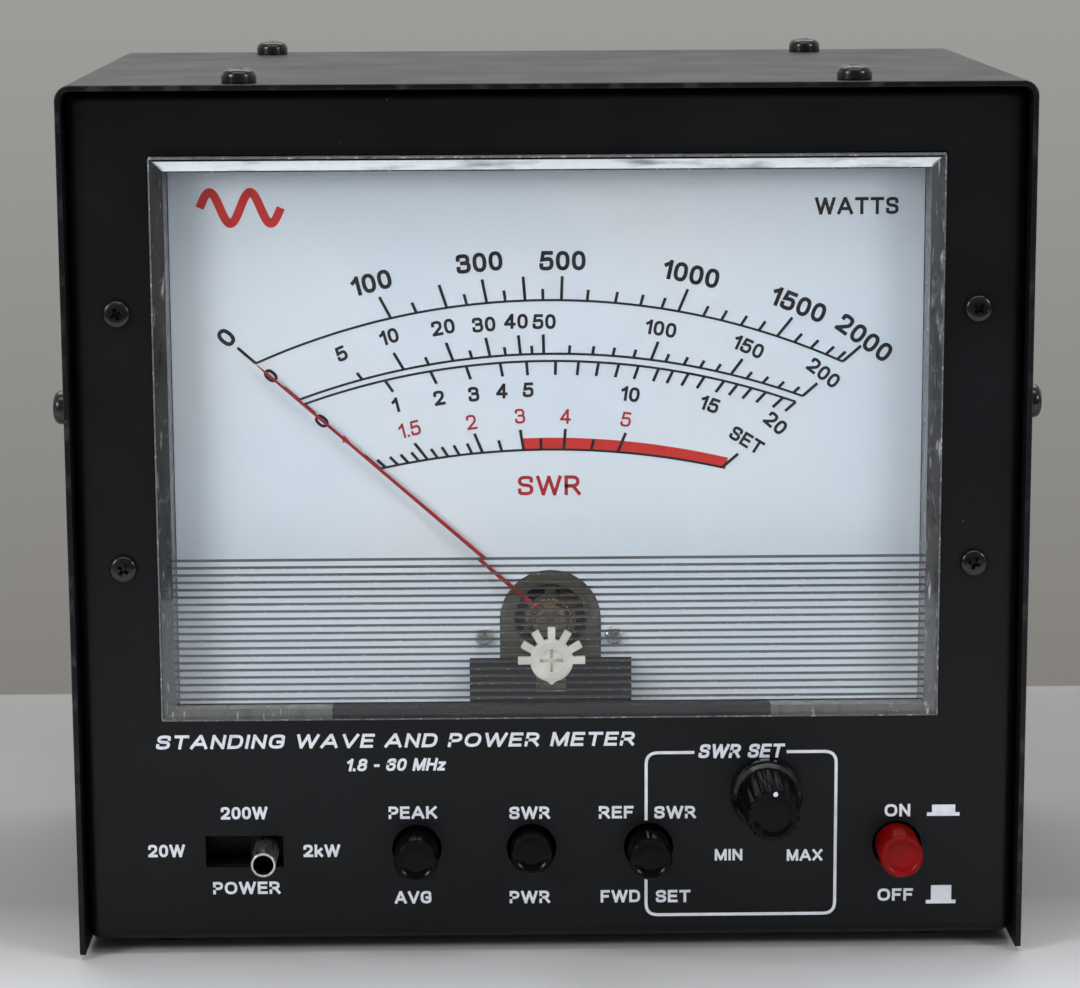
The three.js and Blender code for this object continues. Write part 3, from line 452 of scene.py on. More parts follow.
def turned(bm, profile, x=0.0, z=0.0, segments=48, ripple=None):
    """Adds a turned solid about a line along y through (x, z). The profile is a list of (radius, y). It
    starts and ends on the axis, or else it is closed on itself. ripple(turn, radius, y) changes a radius."""
    rings = []
    for radius, y in profile:
        if radius < 1e-6:
            rings.append([bm.verts.new((x, y, z))])
            continue
        ring = []
        for i in range(segments):
            turn = 2 * math.pi * i / segments
            r = ripple(turn, radius, y) if ripple else radius
            ring.append(bm.verts.new((x + r * math.sin(turn), y, z + r * math.cos(turn))))
        rings.append(ring)
    if len(rings[0]) > 1:
        rings.append(rings[0])
    for first, second in zip(rings, rings[1:]):
        add_ring_faces(bm, first, second)
    return bm


def fillet(corners, steps=5, closed=False):
    """Rounds the corners of a line of (u, v, radius) and returns its points. A corner (u, v) stays sharp."""
    points = []
    last = len(corners) - 1
    for i, (u, v, *bend) in enumerate(corners):
        if not any(bend) or (not closed and i in (0, last)):
            points.append((u, v))
            continue
        here = Vector((u, v))
        before = Vector(corners[i - 1][:2]) - here
        after = Vector(corners[(i + 1) % len(corners)][:2]) - here
        reach = bend[0] / math.tan(before.angle(after) / 2)
        start = here + before.normalized() * min(reach, before.length * 0.49)
        end = here + after.normalized() * min(reach, after.length * 0.49)
        for k in range(steps + 1):
            t = k / steps
            point = start.lerp(here, t).lerp(here.lerp(end, t), t)
            points.append((point.x, point.y))
    return points


def rounded_box(low, high, radius=0.0, steps=3):
    """A box between two corners, with its edges rounded."""
    bm = bmesh.new()
    made = bmesh.ops.create_cube(bm, size=1.0)
    low, high = Vector(low), Vector(high)
    size = high - low
    for vert in made["verts"]:
        vert.co = low + Vector([s * (c + 0.5) for s, c in zip(size, vert.co)])
    if radius > 0:
        edges = {edge for vert in made["verts"] for edge in vert.link_edges}
        bmesh.ops.bevel(bm, geom=list(edges), offset=radius, segments=steps, profile=0.5, affect="EDGES")
    return bm


def prism(bm, outline, low, high, axis="Y"):
    """Adds a solid with a flat outline. Axis Y takes (x, z) points, and axis X takes (y, z) points."""
    rings = []
    for level in (low, high):
        if axis == "Y":
            rings.append([bm.verts.new((u, level, v)) for u, v in outline])
        else:
            rings.append([bm.verts.new((level, u, v)) for u, v in outline])
    bm.faces.new(rings[0])
    bm.faces.new(reversed(rings[1]))
    add_ring_faces(bm, rings[0], rings[1])
    return bm


def soften(bm, width):
    """Rounds every edge sharper than 35 degrees."""
    bmesh.ops.recalc_face_normals(bm, faces=bm.faces)
    limit = math.radians(35)
    edges = [e for e in bm.edges if len(e.link_faces) == 2 and e.calc_face_angle() > limit]
    bmesh.ops.bevel(bm, geom=edges, offset=width, segments=2, profile=0.5, affect="EDGES")
    return bm


def scratch_object(bm):
    """A helper object for one boolean step."""
    bmesh.ops.recalc_face_normals(bm, faces=bm.faces)
    mesh = bpy.data.meshes.new("scratch")
    bm.to_mesh(mesh)
    bm.free()
    return add_object("scratch", mesh)


def combine(bm, cutters=(), added=()):
    """The solid after each of the added solids is joined to it and each cutter is taken away."""
    holder = scratch_object(bm)
    helpers = []
    for operation, others in (("UNION", added), ("DIFFERENCE", cutters)):
        for other in others:
            step = holder.modifiers.new("step", "BOOLEAN")
            step.solver = "EXACT"
            step.operation = operation
            step.object = scratch_object(other)
            helpers.append(step.object)
    shape = holder.evaluated_get(bpy.context.evaluated_depsgraph_get())
    result = bmesh.new()
    result.from_mesh(shape.to_mesh())
    shape.to_mesh_clear()
    for helper in (holder, *helpers):
        mesh = helper.data
        bpy.data.objects.remove(helper)
        bpy.data.meshes.remove(mesh)
    return result


def give_finish(bm, start, index):
    """Gives the faces from number start onwards another of the piece's finishes."""
    bm.faces.ensure_lookup_table()
    for face in bm.faces[start:]:
        face.material_index = index


def add_piece(bm, name, body, finishes, replaces=(), sharp=35, merge=1e-4):
    """Turns a solid in case millimetres into a finished piece that rides on a CAD body."""
    if not isinstance(finishes, (list, tuple)):
        finishes = [finishes]
    bmesh.ops.remove_doubles(bm, verts=bm.verts, dist=merge)
    bmesh.ops.recalc_face_normals(bm, faces=bm.faces)
    bm.transform(TO_FRAME)
    mesh = bpy.data.meshes.new(name)
    bm.to_mesh(mesh)
    bm.free()
    for finish in finishes:
        mesh.materials.append(finish)
    mesh.shade_smooth()
    mesh.set_sharp_from_angle(angle=math.radians(sharp))
    piece = add_object(name, mesh)
    even = piece.modifiers.new("even_shading", "WEIGHTED_NORMAL")
    even.keep_sharp = True
    if replaces:
        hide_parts(*replaces)
    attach(piece, body)
    return piece


def bevel_first(piece, width):
    """Bevels a piece before its shading is evened, with round outer corners."""
    bevel_edges(piece, width).miter_outer = "MITER_ARC"
    piece.modifiers.move(len(piece.modifiers) - 1, 0)


def bevel_edges(piece, width):
    """A bevel that catches the light along edges sharper than 40 degrees."""
    bevel = piece.modifiers.new("soft_edges", "BEVEL")
    bevel.width = width * MM
    bevel.segments = 2
    bevel.limit_method = "ANGLE"
    bevel.angle_limit = math.radians(40)
    return bevel


def dress(node, finish, edge):
    """Gives a CAD node its finish, and soft edges where they would catch the light."""
    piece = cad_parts[node]
    piece.data.materials.clear()
    piece.data.materials.append(finish)
    weld = piece.modifiers.new("weld", "WELD")
    weld.merge_threshold = 0.002 * MM
    if edge:
        bevel_edges(piece, edge)


# ------------------------------------------------------------------ case
def arch(half, top, bend, bottom):
    """The line of an upside-down U with round bends, as (x, z) from its left foot to its right foot."""
    steps = 10
    points = [(-half, bottom)]
    for side, start in ((-1, math.pi), (1, math.pi / 2)):
        for k in range(steps + 1):
            angle = start - math.pi / 2 * k / steps
            x = side * (half - bend) + bend * math.cos(angle)
            points.append((x, top - bend + bend * math.sin(angle)))
    points.append((half, bottom))
    return points


def add_cover():
    """The sheet cover, with the cut edges of its front and back rims slightly rounded."""
    half, top = COVER_HIGH.x, COVER_HIGH.z
    depth = COVER_HIGH.y
    rim = [(0.0, 0.30), (0.09, 0.10), (0.30, 0.0)]
    stations = rim + [(depth - y, inset) for y, inset in reversed(rim)]
    bm = bmesh.new()
    rows = []
    for y, inset in stations:
        outer = arch(half - inset, top - inset, COVER_BEND - inset, inset)
        inner = arch(half - SHEET + inset, top - SHEET + inset, COVER_BEND - SHEET + inset, inset)
        rows.append([[bm.verts.new((x, y, z)) for x, z in line] for line in (outer, inner)])
    count = len(rows[0][0])
    for (outer_a, inner_a), (outer_b, inner_b) in zip(rows, rows[1:]):
        for i in range(count - 1):
            bm.faces.new((outer_a[i], outer_a[i + 1], outer_b[i + 1], outer_b[i]))
            bm.faces.new((inner_a[i], inner_b[i], inner_b[i + 1], inner_a[i + 1]))
        for i in (0, count - 1):
            bm.faces.new((outer_a[i], outer_b[i], inner_b[i], inner_a[i]))
    for outer, inner in (rows[0], rows[-1]):
        for i in range(count - 1):
            bm.faces.new((outer[i], inner[i], inner[i + 1], outer[i + 1]))
    add_piece(bm, "cover", "case", BLACK_PAINT, ["top_cover"])


def rod(radius, low, high, x, z, segments=32):
    """A plain round solid along y."""
    return turned(bmesh.new(), [(0, low), (radius, low), (radius, high), (0, high)], x, z, segments)


def add_chassis():
    """The folded pan: front panel with its cut-outs, bottom, rear panel, and flanges for the cover."""
    low, high = CHASSIS_LOW, CHASSIS_HIGH
    pan = rounded_box(low, high, CHASSIS_BEND, 6)
    thick = Vector((SHEET, SHEET, SHEET))
    inside = rounded_box(low + thick, high - thick, CHASSIS_BEND - SHEET, 4)
    opening = rounded_box(
        (low.x - 5, low.y + FLANGE, low.z + BOTTOM_FLANGE),
        (high.x + 5, high.y - FLANGE, high.z + 5),
    )
    front = (PANEL - 2, PANEL + SHEET + 1.5)
    back = (REAR - SHEET - 1.5, REAR + 2)
    knob = centre_of("swr_set_knob")
    cutters = [
        inside,
        opening,
        rounded_box(
            (WINDOW_LOW.x - GAP, front[0], WINDOW_LOW.z - GAP),
            (WINDOW_HIGH.x + GAP, front[1], WINDOW_HIGH.z + GAP),
        ),
        rounded_box(
            (SLOT["left"], front[0], SLOT["bottom"]),
            (SLOT["right"], front[1], SLOT["top"]),
        ),
        rod(4.0, *front, knob.x, knob.z),
    ]
    for name in BUTTONS:
        middle = centre_of(f"{name}_button")
        cutters.append(rod(BUTTON_HOLE, *front, middle.x, middle.z, 48))
    for i in (1, 2):
        middle = centre_of(f"coax_socket_{i}")
        cutters.append(rod(7.7, *back, middle.x, middle.z))
    jack, post = centre_of("dc_jack"), centre_of("ground_post")
    cutters.append(rod(4.3, *back, jack.x, jack.z))
    cutters.append(rod(2.7, *back, post.x, post.z))
    piece = add_piece(
        combine(pan, cutters), "chassis_pan", "case", BLACK_PAINT, ["chassis"]
    )
    bevel_first(piece, 0.18)


def cross_blade(screw, turn):
    """One wing pair of a cross slot: a wedge that narrows as it goes in."""
    length, width = screw["cross"], screw["cross"] * 0.27
    top, deep = -screw["height"] - 0.3, -screw["height"] + screw["cross"] * 0.85
    bm = bmesh.new()
    rings = []
    for y, share in ((top, 1.0), (deep, 0.36)):
        corners = [(-length, -width), (length, -width), (length, width), (-length, width)]
        rings.append([bm.verts.new((u * share, y, v * (0.4 + 0.6 * share))) for u, v in corners])
    bm.faces.new(rings[0])
    bm.faces.new(reversed(rings[1]))
    add_ring_faces(bm, rings[0], rings[1])
    bm.transform(Matrix.Rotation(turn, 4, "Y"))
    return bm


def screw_solid(screw):
    """A pan head cross slot screw at the origin with its head along -y."""
    radius, height, shank, length = (screw[k] for k in ("radius", "height", "shank", "length"))
    dome = []
    steps = 9
    for k in range(steps + 1):
        angle = math.pi / 2 * k / steps
        dome.append((radius * math.sin(angle) ** 0.55, -0.25 - (height - 0.25) * math.cos(angle) ** 0.55))
    profile = dome + [(radius, -0.1), (radius * 0.975, 0.0), (shank, 0.0), (shank, length), (0, length)]
    blank = turned(bmesh.new(), profile, segments=40)
    return combine(blank, [cross_blade(screw, 0.0), cross_blade(screw, math.pi / 2)])


def add_screw(node, screw, outwards, finish, turn):
    """Puts a screw where its CAD node is, head outwards, with the cross turned by some degrees."""
    low, high = span(node)
    middle = (low + high) / 2
    axis = [abs(c) for c in outwards].index(1)
    seat = middle.copy()
    face = high[axis] if outwards[axis] > 0 else low[axis]
    seat[axis] = face - outwards[axis] * screw["height"]
    bm = screw_solid(screw)
    aim = Vector((0, -1, 0)).rotation_difference(Vector(outwards)).to_matrix().to_4x4()
    bm.transform(Matrix.Translation(seat) @ aim @ Matrix.Rotation(math.radians(turn), 4, "Y"))
    add_piece(bm, f"{node}_head", "case", finish, [node], sharp=30)


def add_screws():
    """All the screws, with their cross slots turned to different angles."""
    turns = (12, 57, 81, 33, 68, 20, 44, 5)
    for i in range(1, 5):
        outwards = (-1, 0, 0) if i < 3 else (1, 0, 0)
        add_screw(f"top_screw_{i}", SCREW, (0, 0, 1), BLACK_SCREW, turns[i])
        add_screw(f"side_screw_{i}", SCREW, outwards, BLACK_SCREW, turns[i - 1])
        add_screw(f"panel_screw_{i}", PANEL_SCREW, (0, -1, 0), BLACK_SCREW, turns[i + 2])
    for i in (1, 2):
        add_screw(f"dial_screw_{i}", DIAL_SCREW, (0, -1, 0), PLATED_STEEL, turns[i + 4])


def add_feet():
    """Rubber bumpers with a rounded rim and a dished sole."""
    for i in range(1, 5):
        low, high = span(f"foot_{i}")
        middle = (low + high) / 2
        radius = (high.x - low.x) / 2
        tall = high.z - low.z
        profile = fillet(
            [(0, -tall), (radius, -tall, 0.2), (radius, -1.3, 0.5), (radius - 0.9, 0, 0.6),
             (radius - 2.2, 0, 0.3), (radius - 3, -0.35, 0.3), (0, -0.35)]
        )
        bm = turned(bmesh.new(), profile, segments=40)
        bm.transform(
            Matrix.Translation((middle.x, middle.y, low.z)) @ Matrix.Rotation(math.radians(-90), 4, "X")
        )
        add_piece(bm, f"bumper_{i}", "case", RUBBER, [f"foot_{i}"])


# ------------------------------------------------------------------ printing
# Each letter is a few strokes of (u, v) or (u, v, corner radius). Capitals are 1 high, measured along the
# middle of the strokes. A letter that is listed as a ring has its strokes closed.
LETTERS = {
    "0": [[(0, 0, 0.5), (0.56, 0, 0.5), (0.56, 1, 0.5), (0, 1, 0.5)]],
    "1": [[(0.04, 0.76), (0.26, 0.93)], [(0.30, 1), (0.30, 0)]],
    "2": [[(0, 0.76), (0, 1, 0.3), (0.54, 1, 0.3), (0.54, 0.54, 0.3), (0.02, 0.03)],
          [(0, 0), (0.58, 0)]],
    "3": [[(0, 0.80), (0, 1, 0.3), (0.54, 1, 0.3), (0.54, 0.54, 0.25), (0.22, 0.54)],
          [(0.22, 0.54), (0.58, 0.54, 0.25), (0.58, 0, 0.3), (0, 0, 0.3), (0, 0.22)]],
    "4": [[(0.46, 0), (0.46, 1)], [(0.42, 0.97), (0.02, 0.31)], [(0, 0.26), (0.62, 0.26)]],
    "5": [[(0.54, 1), (0.10, 1), (0.04, 0.56), (0.58, 0.66, 0.28), (0.58, 0, 0.3), (0, 0, 0.3),
           (0, 0.22)]],
    "6": [[(0.54, 0.82), (0.54, 1, 0.25), (0, 1, 0.4), (0, 0, 0.3), (0.58, 0, 0.3), (0.58, 0.58, 0.28),
           (0.02, 0.58, 0.2)]],
    "8": [[(0.04, 0.54, 0.3), (0.54, 0.54, 0.3), (0.54, 1, 0.3), (0.04, 1, 0.3)],
          [(0, 0, 0.3), (0.58, 0, 0.3), (0.58, 0.54, 0.3), (0, 0.54, 0.3)]],
    "A": [[(0, 0), (0.37, 1)], [(0.43, 1), (0.80, 0)], [(0.15, 0.30), (0.65, 0.30)]],
    "C": [[(0.68, 0.72), (0.68, 1, 0.35), (0, 1, 0.4), (0, 0, 0.4), (0.68, 0, 0.35), (0.68, 0.28)]],
    "D": [[(0, 0), (0.66, 0, 0.45), (0.66, 1, 0.45), (0, 1)]],
    "E": [[(0.54, 1), (0, 1), (0, 0), (0.56, 0)], [(0, 0.52), (0.50, 0.52)]],
    "F": [[(0.52, 1), (0, 1), (0, 0)], [(0, 0.50), (0.44, 0.50)]],
    "G": [[(0.68, 0.76), (0.68, 1, 0.35), (0, 1, 0.4), (0, 0, 0.4), (0.70, 0, 0.3), (0.70, 0.46),
           (0.42, 0.46)]],
    "H": [[(0, 0), (0, 1)], [(0.64, 0), (0.64, 1)], [(0, 0.52), (0.64, 0.52)]],
    "I": [[(0, 0), (0, 1)]],
    "K": [[(0, 0), (0, 1)], [(0.62, 1), (0.05, 0.36)], [(0.24, 0.57), (0.66, 0)]],
    "M": [[(0, 0), (0, 1)], [(0.04, 1), (0.38, 0.04)], [(0.42, 0.04), (0.76, 1)],
          [(0.80, 1), (0.80, 0)]],
    "N": [[(0, 0), (0, 1)], [(0.03, 0.98), (0.59, 0.02)], [(0.62, 0), (0.62, 1)]],
    "O": [[(0, 0, 0.5), (0.76, 0, 0.5), (0.76, 1, 0.5), (0, 1, 0.5)]],
    "P": [[(0, 0), (0, 1), (0.56, 1, 0.28), (0.56, 0.44, 0.28), (0, 0.44)]],
    "R": [[(0, 0), (0, 1), (0.58, 1, 0.28), (0.58, 0.46, 0.28), (0, 0.46)],
          [(0.34, 0.46), (0.64, 0)]],
    "S": [[(0.58, 0.78), (0.58, 1, 0.3), (0, 1, 0.3), (0, 0.56, 0.25), (0.60, 0.48, 0.25), (0.60, 0, 0.3),
           (0, 0, 0.3), (0, 0.22)]],
    "T": [[(0, 1), (0.66, 1)], [(0.33, 0.95), (0.33, 0)]],
    "U": [[(0, 1), (0, 0, 0.4), (0.64, 0, 0.4), (0.64, 1)]],
    "V": [[(0, 1), (0.36, 0)], [(0.40, 0), (0.76, 1)]],
    "W": [[(0, 1), (0.26, 0)], [(0.28, 0), (0.54, 0.98)], [(0.56, 0.98), (0.82, 0)],
          [(0.84, 0), (1.10, 1)]],
    "X": [[(0, 0), (0.66, 1)], [(0, 1), (0.66, 0)]],
    "k": [[(0, 0), (0, 1)], [(0.44, 0.66), (0.05, 0.26)], [(0.18, 0.42), (0.48, 0)]],
    "z": [[(0, 0.66), (0.40, 0.66)], [(0.38, 0.62), (0.03, 0.04)], [(0, 0), (0.42, 0)]],
    ".": [[(0, 0), (0, 0.02)]],
    "-": [[(0, 0.42), (0.24, 0.42)]],
    " ": [],
}
RINGS = "08DO"
LETTER_GAP = 0.17
SPACE = 0.14


def text_strokes(text, weight):
    """The strokes of a line of text whose capitals are 1 high, and the width of the line."""
    strokes, across = [], 0.0
    for letter in text:
        shapes = LETTERS[letter]
        for corners in shapes:
            line = fillet(corners, 4, letter in RINGS)
            strokes.append(([(across + u, weight / 2 + v * (1 - weight)) for u, v in line], letter in RINGS))
        widest = max((corner[0] for corners in shapes for corner in corners), default=SPACE)
        across += widest + weight + LETTER_GAP * (1 - weight)
    return strokes, across - weight - LETTER_GAP * (1 - weight)


def lettering(bm, text, x, z, height, width=None, turn=0.0, slant=0.0, weight=0.21, face=PANEL):
    """Adds a line of printed letters centred on (x, z). Height is that of the capitals, width that of the
    whole line, and weight the share of the height that a stroke takes. Turn is clockwise in degrees."""
    strokes, across = text_strokes(text, weight)
    stroke = weight * height
    wide = (width - stroke) / across if width else height * 0.91
    angle = math.radians(turn)
    for i, (line, ring) in enumerate(strokes):
        placed = []
        for u, v in line:
            up = (v - 0.5) * height
            right = (u - across / 2) * wide + slant * up
            placed.append(
                (
                    x + right * math.cos(angle) + up * math.sin(angle),
                    z - right * math.sin(angle) + up * math.cos(angle),
                )
            )
        ribbon(bm, placed, stroke, face, 0.002 * (i % 5), ring, stroke / 2)


def ribbon(bm, points, width, face=PANEL, raised=0.0, closed=False, beyond=0.0):
    """Adds a printed line of even width through (x, z) points. An open line reaches beyond its ends."""
    line = [Vector(point) for point in points]
    rows = []
    last = len(line) - 1
    for i, point in enumerate(line):
        arriving = (point - line[i - 1]).normalized() if (i or closed) else None
        leaving = (line[(i + 1) % (last + 1)] - point).normalized() if (i < last or closed) else None
        along = ((arriving or leaving) + (leaving or arriving)).normalized()
        reach = beyond if arriving is None or leaving is None else 0.0
        middle = point + along * (-reach if arriving is None else reach)
        corner = max(along.dot(leaving or arriving), 0.6)
        side = Vector((-along.y, along.x)) * width / 2 / corner
        front = face - INK - raised
        corners = ((1, front), (-1, front), (-1, face), (1, face))
        rows.append([bm.verts.new((middle.x + s * side.x, y, middle.y + s * side.y)) for s, y in corners])
    if closed:
        rows.append(rows[0])
    for first, second in zip(rows, rows[1:]):
        add_ring_faces(bm, first, second)
    if not closed:
        bm.faces.new(rows[0])
        bm.faces.new(reversed(rows[-1]))


def panel_legends():
    """White legends round the controls: (text, x, z, height, width)."""
    bm = bmesh.new()
    words = [
        ("200W", -61.7, 28.6, 2.6, 9.4), ("20W", -77.5, 20.85, 2.6, 7.4), ("2kW", -46.2, 20.6, 2.6, 7.4),
        ("POWER", -61.5, 12.95, 2.6, 13.6), ("PEAK", -27.75, 28.4, 2.6, 9.8), ("AVG", -27.9, 10.65, 2.6, 7.4),
        ("SWR", -4.2, 28.15, 2.6, 8.2), ("PWR", -4.25, 10.5, 2.6, 8.2), ("REF", 13.25, 28.1, 2.6, 7.0),
        ("SWR", 25.15, 28.0, 2.6, 8.4), ("FWD", 14.1, 10.5, 2.6, 8.0), ("SET", 24.8, 10.4, 2.6, 7.0),
        ("MIN", 36.0, 19.0, 2.4, 5.6), ("MAX", 51.4, 18.8, 2.4, 7.2), ("ON", 70.1, 28.0, 2.6, 5.2),
        ("OFF", 69.9, 10.3, 2.6, 7.2),
    ]
    for text, x, z, height, width in words:
        lettering(bm, text, x, z, height, width)
    lettering(bm, "SWR SET", 38.5, 40.65, 2.9, 17.0, slant=0.22)
    lettering(bm, "STANDING WAVE AND POWER METER", -30.9, 43.4, 2.9, 96.0, slant=0.22)
    lettering(bm, "1.8 - 60 MHz", -31.0, 38.4, 2.6, 20.0, slant=0.22)

    # Signs for the pressed and the released power button: a low block and a tall block on a base.
    for foot, low, high in (((76.1, 82.7), 26.75, 29.1), ((76.15, 82.2), 8.35, 12.2)):
        base = low + 0.75
        for x0, x1, z0, z1 in ((*foot, low, base), (foot[0] + 1, foot[1] - 0.9, base, high)):
            middle = (z0 + z1) / 2
            ribbon(bm, [(x0, middle), (x1, middle)], z1 - z0)

    # The frame round the set knob, open behind its title and behind the button on its left side.
    left, right, bottom, top, bend = 19.3, 57.6, 6.5, 40.4, 2.4
    title = (29.0, 47.6)
    button = centre_of("ref_fwd_button").z
    gap = BUTTON_HOLE + 0.6
    lines = [
        [(title[0], top), (left, top, bend), (left, button + gap)],
        [
            (left, button - gap), (left, bottom, bend), (right, bottom, bend),
            (right, top, bend), (title[1], top),
        ],
    ]
    for line in lines:
        ribbon(bm, fillet(line, 6), 0.62)
    add_piece(bm, "panel_legends", "case", WHITE_INK, merge=1e-5)


def circle_through(a, b, c):
    """Centre and radius of the circle through three (x, z) points."""
    (ax, az), (bx, bz), (cx, cz) = a, b, c
    d = 2 * (ax * (bz - cz) + bx * (cz - az) + cx * (az - bz))
    a2, b2, c2 = ax**2 + az**2, bx**2 + bz**2, cx**2 + cz**2
    x = (a2 * (bz - cz) + b2 * (cz - az) + c2 * (az - bz)) / d
    z = (a2 * (cx - bx) + b2 * (ax - cx) + c2 * (bx - ax)) / d
    return Vector((x, z)), math.hypot(ax - x, az - z)


def ray(angle):
    """Direction from the pivot at degrees clockwise from straight up, as (x, z)."""
    return Vector((math.sin(math.radians(angle)), math.cos(math.radians(angle))))


class ScaleArc:
    """An arc of the dial, and places along it seen from the pivot."""

    def __init__(self, left, top, right):
        self.centre, self.radius = circle_through(left, top, right)

    def reach(self, angle):
        """Distance from the pivot to the arc along a ray."""
        start = Vector((PIVOT.x, PIVOT.z)) - self.centre
        way = ray(angle)
        b = start.dot(way)
        return -b + math.sqrt(b * b - start.length_squared + self.radius**2)

    def point(self, angle, beyond=0.0):
        p = Vector((PIVOT.x, PIVOT.z)) + ray(angle) * (self.reach(angle) + beyond)
        return p.x, p.y

    def line(self, start, end, beyond=0.0):
        steps = 90
        return [self.point(start + (end - start) * k / steps, beyond) for k in range(steps + 1)]


# Each scale: its arc, its marks as value: angle from straight up, the values with long marks, and the
# lengths of its long and short marks. A negative length points inwards.
ZERO, FULL = -48.7, 49.0
SCALES = [
    {
        "arc": ScaleArc((-57.7, 119.0), (0.2, 131.1), (58.8, 118.4)),
        "marks": {
            0: ZERO, 100: -27.6, 150: -23.3, 200: -18.1, 250: -14.6, 300: -11.1, 350: -7.8, 400: -4.3,
            450: -1.1, 500: 2.2, 600: 6.8, 700: 11.8, 800: 16.2, 900: 19.9, 1000: 22.8, 1100: 27.0,
            1200: 30.0, 1300: 33.2, 1400: 36.1, 1500: 39.0, 1600: 41.7, 1700: 44.2, 1800: 46.5,
            1900: 48.2, 2000: FULL,
        },
        "long": (0, 100, 200, 300, 400, 500, 1000, 1500, 2000),
        "lengths": (4.8, 2.25),
    },
    {
        "arc": ScaleArc((-49.2, 111.6), (0.1, 120.35), (50.6, 111.6)),
        "marks": {
            0: ZERO, 5: -37.9, 10: -30.2, 15: -25.3, 20: -20.4, 25: -16.5, 30: -12.7, 35: -9.4, 40: -6.2,
            45: -3.7, 50: -1.2, 60: 4.3, 70: 9.3, 80: 13.6, 90: 17.9, 100: 21.5, 110: 24.4, 120: 28.0,
            130: 31.1, 140: 34.1, 150: 36.8, 160: 39.6, 170: 42.4, 180: 45.0, 190: 47.5, 200: FULL,
        },
        "long": (0, 10, 20, 30, 40, 50, 100, 150, 200),
        "lengths": (3.9, 1.7),
    },
    {
        "arc": ScaleArc((-48.4, 110.6), (0.1, 118.9), (49.3, 110.4)),
        "marks": {
            0: ZERO, 1: -34.5, 2: -25.6, 3: -18.2, 4: -10.9, 5: -5.1, 6: 1.4, 7: 6.5, 8: 10.9, 9: 15.3,
            10: 19.5, 11: 23.7, 12: 26.6, 13: 29.7, 14: 32.8, 15: 36.5, 16: 39.0, 17: 41.5, 18: 44.0,
            19: 46.9, 20: FULL,
        },
        "long": (),
        "lengths": (-2.8, -2.8),
    },
    {
        "arc": ScaleArc((-33.9, 97.3), (0.4, 101.0), (35.0, 97.1)),
        "marks": {
            1: ZERO, 1.1: -47.5, 1.2: -44.8, 1.3: -42.4, 1.4: -39.9, 1.5: -37.7, 1.6: -35.1, 1.7: -32.3,
            1.8: -29.1, 1.9: -25.4, 2: -22.2, 2.5: -16.1, 3: -8.9, 3.5: -2.9, 4: 4.8, 4.5: 14.0,
            5: 22.5, "SET": 49.4,
        },
        "long": (1, 1.5, 2, 3, 4, 5, "SET"),
        "lengths": (4.2, 2.3),
    },
]
RED_BAND, ARC_WIDTH, TICK_WIDTH = 2.4, 0.46, 0.58

# Numbers of the scales: (text, x, z, height, clockwise turn in degrees).
BLACK_NUMBERS = [
    ("0", -63.9, 124.05, 3.9, -48), ("100", -35.0, 134.8, 3.9, -14), ("300", -13.5, 138.7, 3.9, -5),
    ("500", 3.0, 138.95, 3.9, 0), ("1000", 28.5, 136.15, 3.9, 12), ("1500", 49.9, 129.9, 3.9, 22),
    ("2000", 63.2, 123.1, 3.9, 36),
    ("0", -55.2, 116.3, 3.0, -48), ("5", -41.1, 120.65, 3.0, -24), ("10", -31.6, 124.0, 3.0, -16),
    ("20", -20.8, 125.8, 3.0, -10), ("30", -12.7, 126.3, 3.0, -4), ("40", -6.3, 126.9, 3.0, 0),
    ("50", -0.7, 126.8, 3.0, 0), ("100", 22.5, 125.25, 3.0, 10), ("150", 40.0, 121.5, 3.0, 24),
    ("200", 55.1, 116.1, 3.0, 38),
    ("0", -45.2, 107.1, 3.0, -48), ("1", -30.5, 110.2, 3.0, -14), ("2", -21.7, 111.6, 3.0, -10),
    ("3", -14.8, 112.3, 3.0, -4), ("4", -9.2, 112.9, 3.0, 0), ("5", -3.95, 113.1, 3.0, 0),
    ("10", 16.4, 112.1, 3.0, 8), ("15", 32.3, 109.95, 3.0, 20), ("20", 45.6, 106.0, 3.0, 42),
    ("SET", 39.8, 102.6, 2.9, 32),
]
RED_NUMBERS = [
    ("1", -40.25, 102.6, 3.0, -40), ("1.5", -27.75, 105.3, 3.0, -14), ("2", -15.3, 106.65, 3.0, -8),
    ("3", -5.6, 107.8, 3.0, -2), ("4", 3.5, 107.7, 3.0, 2), ("5", 15.6, 107.0, 3.0, 8),
]


